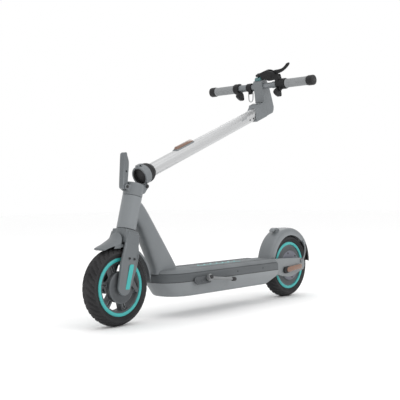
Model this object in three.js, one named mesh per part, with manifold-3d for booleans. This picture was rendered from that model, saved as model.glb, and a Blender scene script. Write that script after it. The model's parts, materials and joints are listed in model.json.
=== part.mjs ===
// Folding electric kick scooter: spoked drum-brake wheel in front, hub motor behind, stem half folded.
// Millimetres. +X is forward, +Y is the rider's left, +Z is up, and the ground is z = 0.
import * as THREE from "three";
import { mergeVertices } from "three/addons/utils/BufferGeometryUtils.js";
import Module from "manifold-3d";

const wasm = await Module();
wasm.setup();

// ---------------------------------------------------------------- driving dimensions
const DEG = Math.PI / 180;
const GAP = 0.3; // clearance between pieces that touch

const TYRE_RADIUS = 125;
const TYRE_HALF_WIDTH = 29;
const BEAD_RADIUS = 93;
const RING_INNER = 82;
const WHEELBASE = 920;
const CENTRE_X = 451.83; // middle of the scooter's length, ahead of the rear axle
const AXLE_RADIUS = 6;

const RAKE = 15.7 * DEG; // steering axis leans back from vertical
const COLUMN_RADIUS = 32;
const STEERER_RADIUS = 14;
const CROWN_BOTTOM = 139; // heights along the steering axis, from the front axle
const CROWN_TOP = 186;
const HEAD_TUBE_TOP = 296;
const FOLD_BASE_TOP = 339;
const LEG_INNER = 36;
const LEG_OUTER = 43;
const LEG_COVER_OUTER = 50;
const LEG_END_RADIUS = 24;

const HINGE_X = -34; // fold hinge, in steering axes
const HINGE_Z = 340;
const HINGE_RADIUS = 4;
const KNUCKLE_RADIUS = 9;
const FOLD_ANGLE = 52.9 * DEG; // how far the stem lies back from upright
const STEM_RADIUS = 21.5;
const STEM_TOP = 702;
const STEM_X = 34; // stem axis ahead of the hinge, so that it meets the column when upright

const BAR_X = 122; // handlebar centre, in stem axes
const BAR_Z = 751;
const BAR_RADIUS = 11;
const BAR_HALF_LENGTH = 245;
const HEAD_BLOCK_HALF_WIDTH = 26;
const HEAD_NECK_HALF_WIDTH = 21;

const DECK_REAR = 150;
const DECK_NOSE = 755;
const DECK_HALF_WIDTH = 82;
const TRAY_BOTTOM = 72;
const TRAY_TOP = 122;
const BAND_TOP = 150;
const MAT_TOP = 162;
const TUBE_FOOT_REAR = 652;

const STAND_X = 573; // kickstand pivot, on the left edge of the tray
const STAND_Z = 123;
const STAND_TILT = 22 * DEG; // the pivot leans outwards, so that the leg splays

const LEVER_X = 43; // lock lever pivot, in steering axes
const LEVER_Z = 318;
const LEVER_HALF_WIDTH = 9;

// ---------------------------------------------------------------- colours
function paint(color, roughness, metalness) {
  return new THREE.MeshStandardMaterial({ color, roughness, metalness });
}
const GREY_PAINT = paint("#7d8285", 0.5, 0.3);
const DARK_PAINT = paint("#4c5053", 0.6, 0.2);
const LIGHT_PAINT = paint("#94999b", 0.5, 0.3);
const SILVER = paint("#c9cacb", 0.35, 0.8);
const STEEL = paint("#9a9c9e", 0.3, 0.9);
const BLACK_PLASTIC = paint("#222426", 0.6, 0);
const TURQUOISE = paint("#38b8ae", 0.5, 0);
const RUBBER = paint("#2b2b2b", 0.9, 0);
const GRIP_RUBBER = paint("#8f9294", 0.85, 0);
const AMBER = paint("#a05a34", 0.3, 0);
const CELL_BLUE = paint("#2f5f8f", 0.6, 0);
const LENS = paint("#dfe6ea", 0.1, 0);
const RED_LENS = paint("#a32020", 0.2, 0);
const TEAL_GREY = paint("#5f8a8c", 0.4, 0);

// ---------------------------------------------------------------- solids
// Turn a geometry's faces outwards, whatever order its outline was drawn in.
function outward(geometry) {
  const bare = geometry.clone();
  bare.deleteAttribute("normal");
  bare.deleteAttribute("uv");
  const merged = mergeVertices(bare, 1e-4);
  const place = merged.attributes.position;
  const index = merged.index.array;
  const [a, b, c] = [new THREE.Vector3(), new THREE.Vector3(), new THREE.Vector3()];
  let volume = 0;
  for (let i = 0; i < index.length; i += 3) {
    a.fromBufferAttribute(place, index[i]);
    b.fromBufferAttribute(place, index[i + 1]);
    c.fromBufferAttribute(place, index[i + 2]);
    volume += a.dot(b.cross(c));
  }
  if (volume < 0) {
    for (let i = 0; i < index.length; i += 3) [index[i], index[i + 1]] = [index[i + 1], index[i]];
  }
  return merged;
}

function solid(geometry) {
  const merged = outward(geometry);
  return new wasm.Manifold(new wasm.Mesh({
    numProp: 3,
    vertProperties: new Float32Array(merged.attributes.position.array),
    triVerts: new Uint32Array(merged.index.array),
  }));
}

function toGeometry(body) {
  const mesh = body.getMesh();
  const geometry = new THREE.BufferGeometry();
  geometry.setAttribute("position", new THREE.BufferAttribute(mesh.vertProperties, 3));
  geometry.setIndex(new THREE.BufferAttribute(mesh.triVerts, 1));
  geometry.computeVertexNormals();
  return geometry;
}

const joined = (first, ...rest) => rest.reduce((body, other) => body.add(other), first);
const cut = (first, ...rest) => rest.reduce((body, other) => body.subtract(other), first);

function add(group, name, body, material) {
  const mesh = new THREE.Mesh(toGeometry(body), material);
  mesh.name = name;
  group.add(mesh);
}

// A flat outline of [x, z] points, standing from y0 to y1.
function prismY(points, y0, y1, bevel = 0) {
  const shape = new THREE.Shape(points.map(([x, z]) => new THREE.Vector2(x, z)));
  const geometry = new THREE.ExtrudeGeometry(shape, {
    depth: y1 - y0 - 2 * bevel,
    bevelEnabled: bevel > 0,
    bevelSize: bevel,
    bevelThickness: bevel,
    bevelOffset: -bevel,
    bevelSegments: 2,
    steps: 1,
  });
  return solid(geometry.rotateX(Math.PI / 2).translate(0, y1 - bevel, 0));
}

// A flat outline of [x, y] points, standing from z0 to z1.
function prismZ(points, z0, z1) {
  const shape = new THREE.Shape(points.map(([x, y]) => new THREE.Vector2(x, y)));
  const geometry = new THREE.ExtrudeGeometry(shape, { depth: z1 - z0, bevelEnabled: false });
  return solid(geometry.translate(0, 0, z0));
}

function rodY(x, z, radius, y0, y1, sides = 16) {
  return solid(new THREE.CylinderGeometry(radius, radius, y1 - y0, sides).translate(x, (y0 + y1) / 2, z));
}

function rodX(y, z, radius, x0, x1, sides = 16) {
  const geometry = new THREE.CylinderGeometry(radius, radius, x1 - x0, sides).rotateZ(Math.PI / 2);
  return solid(geometry.translate((x0 + x1) / 2, y, z));
}

function rodZ(x, y, radius, z0, z1, sides = 24, topRadius = radius) {
  const geometry = new THREE.CylinderGeometry(topRadius, radius, z1 - z0, sides).rotateX(Math.PI / 2);
  return solid(geometry.translate(x, y, (z0 + z1) / 2));
}

function block(x0, x1, y0, y1, z0, z1) {
  const geometry = new THREE.BoxGeometry(x1 - x0, y1 - y0, z1 - z0);
  return solid(geometry.translate((x0 + x1) / 2, (y0 + y1) / 2, (z0 + z1) / 2));
}

// A closed [radius, y] profile turned about the y axis.
function turned(profile, sides = 36) {
  const points = [...profile, profile[0]].map(([radius, y]) => new THREE.Vector2(radius, y));
  return solid(new THREE.LatheGeometry(points, sides));
}

const ringY = (outer, inner, y0, y1, sides = 36) =>
  turned([[inner, y0], [outer, y0], [outer, y1], [inner, y1]], sides);

// A round bar bent along a curve.
function bentRod(points, radius, steps = 16, sides = 8) {
  const section = new THREE.Shape();
  section.absarc(0, 0, radius, 0, 2 * Math.PI);
  const path = new THREE.CatmullRomCurve3(points.map((point) => new THREE.Vector3(...point)));
  const options = { steps, curveSegments: sides / 2, extrudePath: path, bevelEnabled: false };
  return solid(new THREE.ExtrudeGeometry(section, options));
}

// Points along an arc, in degrees from the x axis.
function arc(cx, cz, radius, fromDeg, toDeg, steps) {
  return Array.from({ length: steps + 1 }, (_, i) => {
    const angle = (fromDeg + ((toDeg - fromDeg) * i) / steps) * DEG;
    return [cx + radius * Math.cos(angle), cz + radius * Math.sin(angle)];
  });
}

// An outline with a round end at each of two places, such as a link or a fork leg.
function link(x0, z0, r0, x1, z1, r1, steps = 8) {
  const turn = Math.atan2(z1 - z0, x1 - x0) / DEG;
  const firstEnd = arc(x0, z0, r0, turn + 90, turn + 270, steps);
  const secondEnd = arc(x1, z1, r1, turn - 90, turn + 90, steps);
  return [...firstEnd, ...secondEnd];
}

// A channel round a wheel: its crown follows radiusAt(angle), and its side walls reach in to skirtRadius.
function fenderSolid(fromDeg, toDeg, radiusAt, skirtRadius, halfWidth, wall, steps) {
  const angles = Array.from({ length: steps + 1 }, (_, i) => fromDeg + ((toDeg - fromDeg) * i) / steps);
  const at = (radius, deg) => [radius * Math.cos(deg * DEG), radius * Math.sin(deg * DEG)];
  const outer = angles.map((deg) => at(radiusAt(deg), deg));
  const skirt = angles.map((deg) => at(skirtRadius, deg)).reverse();
  const inside = angles.map((deg) => at(radiusAt(deg) - wall, deg));
  const ends = [at(radiusAt(toDeg) - wall, toDeg + 20), [0, 0], at(radiusAt(fromDeg) - wall, fromDeg - 20)];
  const shell = prismY([...outer, ...skirt], -halfWidth, halfWidth);
  return shell.subtract(prismY([...inside, ...ends], wall - halfWidth, halfWidth - wall));
}

// ---------------------------------------------------------------- assembly groups
const scooter = new THREE.Group();
scooter.position.x = -CENTRE_X;
const rearWheel = new THREE.Group();
rearWheel.position.z = TYRE_RADIUS;
const steering = new THREE.Group();
steering.position.set(WHEELBASE, 0, TYRE_RADIUS);
steering.rotation.y = -RAKE;
const stem = new THREE.Group();
stem.position.set(HINGE_X, 0, HINGE_Z);
stem.rotation.y = -FOLD_ANGLE;
const cockpit = new THREE.Group();
cockpit.position.set(BAR_X, 0, BAR_Z);
const stand = new THREE.Group();
stand.position.set(STAND_X, DECK_HALF_WIDTH, STAND_Z);
stand.rotation.x = STAND_TILT;
scooter.add(rearWheel, steering, stand);
steering.add(stem);
stem.add(cockpit);

// ---------------------------------------------------------------- main frame
// Plan outline of the deck: straight sides and a full rounded nose, drawn in by an inset.
function deckPlan(inset, rear = DECK_REAR) {
  const noseLength = 110;
  const squareness = 2 / 2.5;
  const halfWidth = DECK_HALF_WIDTH - inset;
  const nose = Array.from({ length: 15 }, (_, i) => {
    const angle = (90 - (180 * i) / 14) * DEG;
    const x = DECK_NOSE - inset - noseLength + noseLength * Math.pow(Math.abs(Math.cos(angle)), squareness);
    const side = Math.sign(Math.sin(angle)) * Math.pow(Math.abs(Math.sin(angle)), squareness);
    return [x, halfWidth * side];
  });
  return [[rear, halfWidth], ...nose, [rear, -halfWidth]];
}

// Stands a plan outline between two heights and draws its lower edge in.
function taperedTray() {
  const depth = TRAY_TOP - TRAY_BOTTOM;
  const shape = new THREE.Shape(deckPlan(0).map(([x, y]) => new THREE.Vector2(x, y)));
  const geometry = new THREE.ExtrudeGeometry(shape, { depth, steps: 1, bevelEnabled: false });
  const place = geometry.attributes.position;
  const sideDraw = 9;
  const noseDraw = 36;
  for (let i = 0; i < place.count; i += 1) {
    const low = 1 - place.getZ(i) / depth;
    const along = (place.getX(i) - DECK_REAR) / (DECK_NOSE - DECK_REAR);
    place.setX(i, place.getX(i) - noseDraw * low * along * along);
    place.setY(i, place.getY(i) * (1 - (sideDraw * low) / DECK_HALF_WIDTH));
  }
  return solid(geometry.translate(0, 0, TRAY_BOTTOM));
}

function deck() {
  const wall = 4;
  const batteryRear = 242;
  const batteryFront = 525;
  const controllerFront = 635;
  const floor = TRAY_BOTTOM + wall;
  const bay = block(batteryRear - 6, controllerFront + 15, -64, 64, floor, TRAY_TOP + 1);
  const chamferSide = [[DECK_REAR - 1, 60], [228, 60], [228, TRAY_BOTTOM - 1], [DECK_REAR - 1, 104]];
  const rearChamfer = prismY(chamferSide, -90, 90);
  add(scooter, "deck_tray", cut(taperedTray(), bay, rearChamfer), GREY_PAINT);
  const plateBottom = TRAY_TOP + GAP;
  const cableRoom = block(batteryRear, controllerFront + 1, -58, 58, plateBottom - 1, BAND_TOP - 3);
  const deckBand = cut(prismZ(deckPlan(1), plateBottom, BAND_TOP), cableRoom);
  add(scooter, "deck_top_plate", deckBand, DARK_PAINT);
  const shoulder = prismZ(deckPlan(4), BAND_TOP + GAP, BAND_TOP + 5);
  const crown = prismZ(deckPlan(10), BAND_TOP + 4, MAT_TOP);
  const tubeFoot = block(TUBE_FOOT_REAR - 2, 800, -34, 34, BAND_TOP, MAT_TOP + 1);
  add(scooter, "deck_mat", cut(joined(shoulder, crown), tubeFoot), DARK_PAINT);
  const cellsBottom = floor + 2;
  const cells = block(batteryRear, batteryFront, -56, 56, cellsBottom, TRAY_TOP - 2);
  add(scooter, "battery_pack", cells, CELL_BLUE);
  const controller = block(batteryFront + 10, controllerFront, -45, 45, cellsBottom, cellsBottom + 32);
  add(scooter, "motor_controller", controller, STEEL);
}

// The head tube turns with nothing, so it is drawn in steering axes and then leant back with them.
function inSteeringAxes(body) {
  const lean = new THREE.Matrix4().makeRotationY(-RAKE).setPosition(WHEELBASE, 0, TYRE_RADIUS);
  return solid(toGeometry(body).applyMatrix4(lean));
}

function mainFrame() {
  const cupDepth = 13;
  const bore = rodZ(0, 0, 17, CROWN_TOP, HEAD_TUBE_TOP + 2);
  const cupLow = rodZ(0, 0, 24, CROWN_TOP, CROWN_TOP + cupDepth);
  const cupHigh = rodZ(0, 0, 24, HEAD_TUBE_TOP - cupDepth + 1, HEAD_TUBE_TOP + 2);
  const tube = rodZ(0, 0, COLUMN_RADIUS, CROWN_TOP + 1, HEAD_TUBE_TOP, 40, COLUMN_RADIUS - 1);
  add(scooter, "head_tube", inSteeringAxes(cut(tube, bore, cupLow, cupHigh)), GREY_PAINT);

  // The tube is deep where it meets the deck and slimmer where it is welded to the head tube.
  const halfWidth = 30;
  const wall = 4;
  const bottom = BAND_TOP + GAP;
  const outside = [[823, 307], [852, 314], [832, 388], [809, 388], [657, 176], [TUBE_FOOT_REAR, bottom],
    [752, bottom], [755, 168]];
  const inside = [[817, 316], [810, 344], [804, 372], [664, 175], [659, BAND_TOP], [746, BAND_TOP],
    [749, 170]];
  const shell = prismY(outside, -halfWidth, halfWidth, 9);
  const hollow = prismY(inside, wall - halfWidth, halfWidth - wall, 6);
  const clearance = rodZ(0, 0, COLUMN_RADIUS + GAP, CROWN_TOP - 30, HEAD_TUBE_TOP + 20, 40);
  add(scooter, "down_tube", cut(shell, hollow, inSteeringAxes(clearance)), GREY_PAINT);
}

function rearEnd() {
  const armOuter = 60;
  const armInner = 40;
  const spacerInner = 34;
  const hubFace = 32;
  const armSide = [[149.6, 106], [149.6, 159], [110, 160], [60, 158], [-42, 153], [-53, 148], [-57, 138],
    [-57, 120], [-50, 108], [30, 86], [60, 85], [105, 93]];
  const axleEnd = armOuter - 5; // the axle stops inside the arms, so no nut shows
  const axleHole = rodY(0, TYRE_RADIUS, AXLE_RADIUS + GAP, 0, axleEnd + GAP);
  const spacer = prismY(link(0, TYRE_RADIUS, 22, -4, TYRE_RADIUS, 22), spacerInner, armInner + 1);
  const arm = cut(joined(prismY(armSide, armInner, armOuter, 3), spacer), axleHole);
  add(scooter, "rear_arm_left", arm, LIGHT_PAINT);
  add(scooter, "rear_arm_right", arm.mirror([0, 1, 0]), LIGHT_PAINT);

  const strip = prismY(link(78, 113, 13, -18, 121.5, 9.5), armOuter + GAP, armOuter + 9, 2);
  add(scooter, "rear_reflector_left", strip, AMBER);
  add(scooter, "rear_reflector_right", strip.mirror([0, 1, 0]), AMBER);

  const shaft = rodY(0, TYRE_RADIUS, AXLE_RADIUS, -axleEnd, axleEnd);
  const nut = rodY(0, TYRE_RADIUS, 10, hubFace + GAP, spacerInner - GAP, 6);
  add(scooter, "rear_axle", joined(shaft, nut, nut.mirror([0, 1, 0])), STEEL);
}

const FENDER_FROM = 2;
const FENDER_TO = 143;
const FLAP_TO = 176;
const FENDER_HALF_WIDTH = 33.5;
const fenderRadius = (deg) => 141 + 8.5 * Math.sin(deg * DEG);

function rearFender() {
  const wall = 2.6;
  const channel = fenderSolid(FENDER_FROM, FENDER_TO, fenderRadius, 120, FENDER_HALF_WIDTH, wall, 28);
  const deckFoot = block(139.5, DECK_REAR - GAP, -24, 24, 133, 146);

  // The folded stem's bail hooks under this curl, which is moulded in one with the fender.
  const hookSide = [[43, 258], [45, 269], [53, 275], [64, 277], [76, 274], [86, 265], [82, 262], [71, 267],
    [64, 264], [64, 250]];
  const belowCrown = prismY(arcPlate(24, 100, wall / 2, 30), -20, 20);
  const hook = cut(prismY(hookSide, -10, 10, 1.5), belowCrown);
  const fender = joined(channel.translate([0, 0, TYRE_RADIUS]), deckFoot, hook);
  add(scooter, "rear_fender", fender, GREY_PAINT);

  const stayFoot = [-34, 141];
  const stayTop = [-86, 214];
  for (const [name, sign] of [["fender_stay_left", 1], ["fender_stay_right", -1]]) {
    const route = [[-36, 66, 144], [-62, 58, 180], [stayTop[0], 39, stayTop[1]]];
    const bar = bentRod(route.map(([x, y, z]) => [x, sign * y, z]), 3, 6);
    const eye = rodY(...stayFoot, 7, 60.5, 64.5, 14);
    const foot = rodY(...stayTop, 6, FENDER_HALF_WIDTH + GAP, 40);
    const ends = sign > 0 ? joined(eye, foot) : joined(eye, foot).mirror([0, 1, 0]);
    add(scooter, name, joined(bar, ends), GREY_PAINT);
  }
  const flapHalfWidth = FENDER_HALF_WIDTH - 1;
  const flap = fenderSolid(FENDER_TO + GAP, FLAP_TO, fenderRadius, 123, flapHalfWidth, wall, 8);
  add(scooter, "mudflap", flap.translate([0, 0, TYRE_RADIUS]), BLACK_PLASTIC);
  add(scooter, "tail_light", prismY(arcPlate(149, 159, -6, -GAP), -18, 18), RED_LENS);
}

// A strip that follows the fender's crown, between two depths below it.
function arcPlate(fromDeg, toDeg, depthOuter, depthInner) {
  const steps = 8;
  const angles = Array.from({ length: steps + 1 }, (_, i) => fromDeg + ((toDeg - fromDeg) * i) / steps);
  const at = (depth) => (deg) => {
    const radius = fenderRadius(deg) - depth;
    return [radius * Math.cos(deg * DEG), TYRE_RADIUS + radius * Math.sin(deg * DEG)];
  };
  return [...angles.map(at(depthOuter)), ...angles.map(at(depthInner)).reverse()];
}

function kickstand() {
  const pivotRadius = 5;
  const plate = prismY(link(0, -3, 13, 56, -4, 13), 4, 9, 1);
  add(stand, "kickstand_bracket", joined(plate, rodY(0, 0, pivotRadius, 4, 26, 16)), BLACK_PLASTIC);
  const droop = 6.5; // how far the folded leg hangs below level, in degrees
  const legLength = 131;
  const leg = rodX(16, -2, 5.5, 8 - legLength, -8, 12);
  const foot = rodX(16, -2, 8, -legLength, 20 - legLength, 14);
  const barrel = rodY(0, 0, 11, 9.5, 24);
  const bore = rodY(0, 0, pivotRadius + GAP, 0, 30, 16);
  const turnedLeg = joined(leg, foot).rotate([0, -droop, 0]);
  add(stand, "kickstand_leg", cut(joined(barrel, turnedLeg), bore), STEEL);
}

// ---------------------------------------------------------------- wheels
function tyre() {
  const w = TYRE_HALF_WIDTH;
  const half = [[BEAD_RADIUS, 23], [99, 27.5], [108, w], [116, 26.5], [121.5, 19.5], [124.2, 10]];
  const mirrored = half.map(([radius, y]) => [radius, -y]);
  return turned([...half, [TYRE_RADIUS, 0], ...mirrored.reverse()], 40);
}

const rimRing = () => ringY(BEAD_RADIUS - GAP, RING_INNER, -26, 26, 40);

function rearWheelParts() {
  const half = [[AXLE_RADIUS + GAP, 32], [20, 32], [24, 28], [74, 24.5], [RING_INNER - GAP, 20]];
  const mirrored = half.map(([radius, y]) => [radius, -y]).reverse();
  add(rearWheel, "rear_hub_motor", turned([...half, ...mirrored], 40), LIGHT_PAINT);
  add(rearWheel, "rear_wheel_ring", rimRing(), TURQUOISE);
  add(rearWheel, "rear_tyre", tyre(), RUBBER);
}

function frontWheelParts() {
  const spokeCount = 6;
  const firstSpoke = 125.7; // degrees
  const hubRadius = 26;
  const drumRadius = 50;
  const drumInnerSide = 6;
  const bearingRadius = 9.3;
  const rimBand = ringY(RING_INNER - GAP, 76, -23, 23);
  const drum = turned([[bearingRadius, -29], [hubRadius, -29], [hubRadius, drumInnerSide],
    [drumRadius, drumInnerSide], [drumRadius, 25], [bearingRadius, 25]]);
  const spokeBody = block(hubRadius - 2, 78, -10, 12, -12, 12);
  const leftPocket = block(54, 70, 9, 13, -5, 5);
  const rightPocket = block(34, 70, -11, -7, -5, 5);
  const spoke = cut(spokeBody, leftPocket, rightPocket);
  const spokes = Array.from({ length: spokeCount }, (_, i) => (
    spoke.rotate([0, firstSpoke + (360 * i) / spokeCount, 0])));
  add(steering, "front_wheel_rim", joined(rimBand, drum, ...spokes), DARK_PAINT);
  add(steering, "front_wheel_ring", rimRing(), TURQUOISE);
  add(steering, "front_tyre", tyre(), RUBBER);
}

// ---------------------------------------------------------------- steering
function fork() {
  const shoulder = 150; // height where the legs give way to the crown
  const legEnd = arc(4, 0, LEG_END_RADIUS, 180, 360, 12);
  const legSide = [...legEnd, [35, 74], [30, shoulder], [24, 176], [-24, 176], [-30, shoulder], [-31, 74]];
  const column = rodZ(0, 0, COLUMN_RADIUS, CROWN_BOTTOM + 20, CROWN_TOP, 40);
  const crown = crownBlock([[-LEG_OUTER, CROWN_BOTTOM], [LEG_OUTER, CROWN_BOTTOM], [LEG_OUTER, shoulder],
    [26, 178], [-26, 178], [-LEG_OUTER, shoulder]]);
  const axleHole = rodY(0, 0, AXLE_RADIUS + GAP, 0, 80);
  const aboveLeg = block(-60, 60, 0, 60, shoulder + 1, 200);
  const leftLeg = cut(prismY(legSide, LEG_INNER, LEG_OUTER), aboveLeg, axleHole);
  const bore = rodZ(0, 0, STEERER_RADIUS + GAP, CROWN_BOTTOM - 1, CROWN_TOP + 1);
  const body = joined(crown, column, leftLeg, leftLeg.mirror([0, 1, 0]));
  add(steering, "fork", cut(body, bore), GREY_PAINT);

  const coverEnd = arc(4, 0, LEG_END_RADIUS + 2, 180, 360, 14);
  const coverSide = [...coverEnd, [37, 74], [31, 132], [24, 146], [-24, 146], [-31, 132], [-33, 74]];
  const axleEnd = rodY(0, 0, 14, 0, LEG_COVER_OUTER - 3);
  const cover = cut(prismY(coverSide, LEG_OUTER + GAP, LEG_COVER_OUTER, 2.5), axleEnd);
  add(steering, "fork_cover_left", cover, GREY_PAINT);
  add(steering, "fork_cover_right", cover.mirror([0, 1, 0]), GREY_PAINT);
}

// A [y, z] outline carried fore and aft through the crown.
function crownBlock(points) {
  const halfDepth = 30;
  const shape = new THREE.Shape(points.map(([y, z]) => new THREE.Vector2(y, z)));
  const geometry = new THREE.ExtrudeGeometry(shape, { depth: 2 * halfDepth, bevelEnabled: false });
  const turnToYZ = new THREE.Matrix4().makeBasis(
    new THREE.Vector3(0, 1, 0), new THREE.Vector3(0, 0, 1), new THREE.Vector3(1, 0, 0));
  return solid(geometry.applyMatrix4(turnToYZ).translate(-halfDepth, 0, 0));
}

function steeringColumn() {
  const steererTop = 322;
  const clampedZone = rodZ(0, 0, 11, CROWN_BOTTOM - 1, steererTop + 1, 20);
  const steerer = cut(rodZ(0, 0, STEERER_RADIUS, CROWN_BOTTOM, steererTop), clampedZone);
  add(steering, "steerer_tube", steerer, STEEL);
  const bearingBore = STEERER_RADIUS + GAP;
  const bearing = (z0) => cut(rodZ(0, 0, 23.7, z0, z0 + 11), rodZ(0, 0, bearingBore, z0 - 1, z0 + 12));
  add(steering, "headset_bearing_lower", bearing(CROWN_TOP + 1.5), STEEL);
  add(steering, "headset_bearing_upper", bearing(HEAD_TUBE_TOP - 11.5), STEEL);

  const bothSides = (body) => [body, body.mirror([0, 1, 0])];
  const knuckleInner = 12.3;
  const knuckleOuter = 24;
  const earInner = LEVER_HALF_WIDTH + 0.6;
  const earOuter = earInner + 6;
  const collar = rodZ(0, 0, COLUMN_RADIUS, HEAD_TUBE_TOP + 1, FOLD_BASE_TOP, 40, COLUMN_RADIUS + 1);
  const knuckle = prismY(link(HINGE_X, HINGE_Z, 8, -20, 322, 12), knuckleInner, knuckleOuter);
  const ear = prismY(link(LEVER_X, LEVER_Z, 8, 18, LEVER_Z - 2, 13), earInner, earOuter);
  const stemKnuckleRoom = rodY(HINGE_X, HINGE_Z, KNUCKLE_RADIUS + 4, -knuckleInner, knuckleInner, 32);
  const pinHole = rodY(HINGE_X, HINGE_Z, HINGE_RADIUS + GAP, -40, 40, 16);
  const leverHole = rodY(LEVER_X, LEVER_Z, 3.8, -40, 40, 16);
  const leverRoom = rodY(LEVER_X, LEVER_Z, 11, -earInner, earInner);
  const bore = rodZ(0, 0, bearingBore, HEAD_TUBE_TOP, steererTop + 1);
  const socket = rodZ(0, 0, 24, steererTop + 3, FOLD_BASE_TOP + 1);
  const body = joined(collar, ...bothSides(knuckle), ...bothSides(ear));
  const base = cut(body, stemKnuckleRoom, pinHole, leverHole, leverRoom, bore, socket);
  add(steering, "fold_base", base, GREY_PAINT);
  const pinHead = rodY(HINGE_X, HINGE_Z, 6.5, knuckleOuter + GAP, 27.5, 16);
  const pin = joined(rodY(HINGE_X, HINGE_Z, HINGE_RADIUS, -26, 26, 16), ...bothSides(pinHead));
  add(steering, "hinge_pin", pin, BLACK_PLASTIC);

  const lever = [[-6, -4], [4, -8], [11, -6], [15, 4], [33, 96], [32, 104], [24, 107], [18, 97], [9, 84],
    [4, 68], [-3, 24], [-5, 8]];
  const leverSide = lever.map(([x, z]) => [LEVER_X + x, LEVER_Z + z]);
  const leverBody = prismY(leverSide, -LEVER_HALF_WIDTH, LEVER_HALF_WIDTH, 2);
  const leverPin = rodY(LEVER_X, LEVER_Z, 3.5, -earOuter - 1.5, earOuter + 1.5, 16);
  add(steering, "lock_lever", joined(leverBody, leverPin), GREY_PAINT);
}

function frontMudguard() {
  const radiusAt = (deg) => 136.6 + 0.0005 * Math.pow(Math.max(0, deg - 110), 2);
  const arch = fenderSolid(57, 163, radiusAt, 124, 33, 2.4, 22);
  const beakUnderside = arc(0, 0, 134.6, 46, 74, 5);
  const beakSide = [[38, 168], [46, 153], [56, 142], [77, 124], [95, 112], [109, 101], [107, 97.5], [96, 98],
    ...beakUnderside];
  const wheelRoom = rodY(0, 0, 134.2, -60, 60, 48);
  const beak = cut(prismY(beakSide, -31, 31, 1), wheelRoom);
  const crownRoom = block(-31, 31, -60, 60, CROWN_BOTTOM - GAP, 220);
  const columnRoom = rodZ(0, 0, COLUMN_RADIUS + 1, CROWN_BOTTOM - GAP, 230);
  add(steering, "front_mudguard", cut(joined(arch, beak), crownRoom, columnRoom), GREY_PAINT);
}

function frontAxleAndBrake() {
  const nutStart = LEG_OUTER + GAP;
  const nut = rodY(0, 0, 10, nutStart, nutStart + 3, 6);
  const shaft = rodY(0, 0, AXLE_RADIUS, -LEG_OUTER - 3, LEG_OUTER + 3);
  add(steering, "front_axle", joined(shaft, nut, nut.mirror([0, 1, 0])), STEEL);
  const camPlace = [-38, 22];
  const camRadius = 5;
  const plateRing = ringY(52, AXLE_RADIUS + GAP, 25.6, 31.5, 36);
  const camHole = rodY(...camPlace, camRadius + GAP, 20, 40, 14);
  add(steering, "brake_plate", cut(plateRing, camHole), DARK_PAINT);
  const cam = rodY(...camPlace, camRadius, 26, 35.4, 14);
  const arm = prismY(link(...camPlace, 9, -62, 2, 6), 32, 35.4);
  add(steering, "brake_arm", joined(cam, arm), STEEL);
}

// ---------------------------------------------------------------- stem, in axes from the fold hinge
function stemParts() {
  const collarTop = 30;
  const stemRoom = STEM_RADIUS + GAP;
  const tubeBottom = 18;
  const outer = rodZ(STEM_X, 0, COLUMN_RADIUS + 1, 1, collarTop, 40);
  const mouth = rodZ(STEM_X, 0, 27, -1, tubeBottom - 3, 32);
  const neckBore = rodZ(STEM_X, 0, stemRoom, 10, collarTop + 1, 32);
  const knuckle = prismY(link(0, 0, 8.5, 14, 14, 9), -11.8, 11.8);
  const pinHole = rodY(0, 0, HINGE_RADIUS + GAP, -40, 40, 16);
  const baseKnuckleRoom = rodY(0, 0, KNUCKLE_RADIUS + 4, 11.8, 29, 24);
  const tab = cut(block(60, 72, -7, 7, 3, 24), rodY(67, 13, 3.5, -20, 20, 14));
  const shell = cut(joined(outer, tab), mouth, baseKnuckleRoom, baseKnuckleRoom.mirror([0, 1, 0]));
  add(stem, "fold_collar", cut(joined(shell, knuckle), pinHole, neckBore), GREY_PAINT);
  const sealTop = 58;
  const seal = rodZ(STEM_X, 0, COLUMN_RADIUS + 1, collarTop + GAP, sealTop, 32, STEM_RADIUS + 2.5);
  const sealBore = rodZ(STEM_X, 0, stemRoom, collarTop - 1, sealTop + 1, 32);
  add(stem, "collar_seal", cut(seal, sealBore), BLACK_PLASTIC);
  const tubeBore = rodZ(STEM_X, 0, STEM_RADIUS - 3, tubeBottom - 1, STEM_TOP + 5, 24);
  add(stem, "stem_tube", cut(rodZ(STEM_X, 0, STEM_RADIUS, tubeBottom, STEM_TOP, 32), tubeBore), SILVER);
  const stemFront = STEM_X + STEM_RADIUS;
  const holder = block(stemFront - 6, stemFront + 10, -12, 12, 195, 291);
  const behindHolder = rodZ(STEM_X, 0, stemRoom, 180, 310, 32);
  add(stem, "stem_reflector", cut(holder, behindHolder), AMBER);
  stemHead(stemRoom);
}

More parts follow.
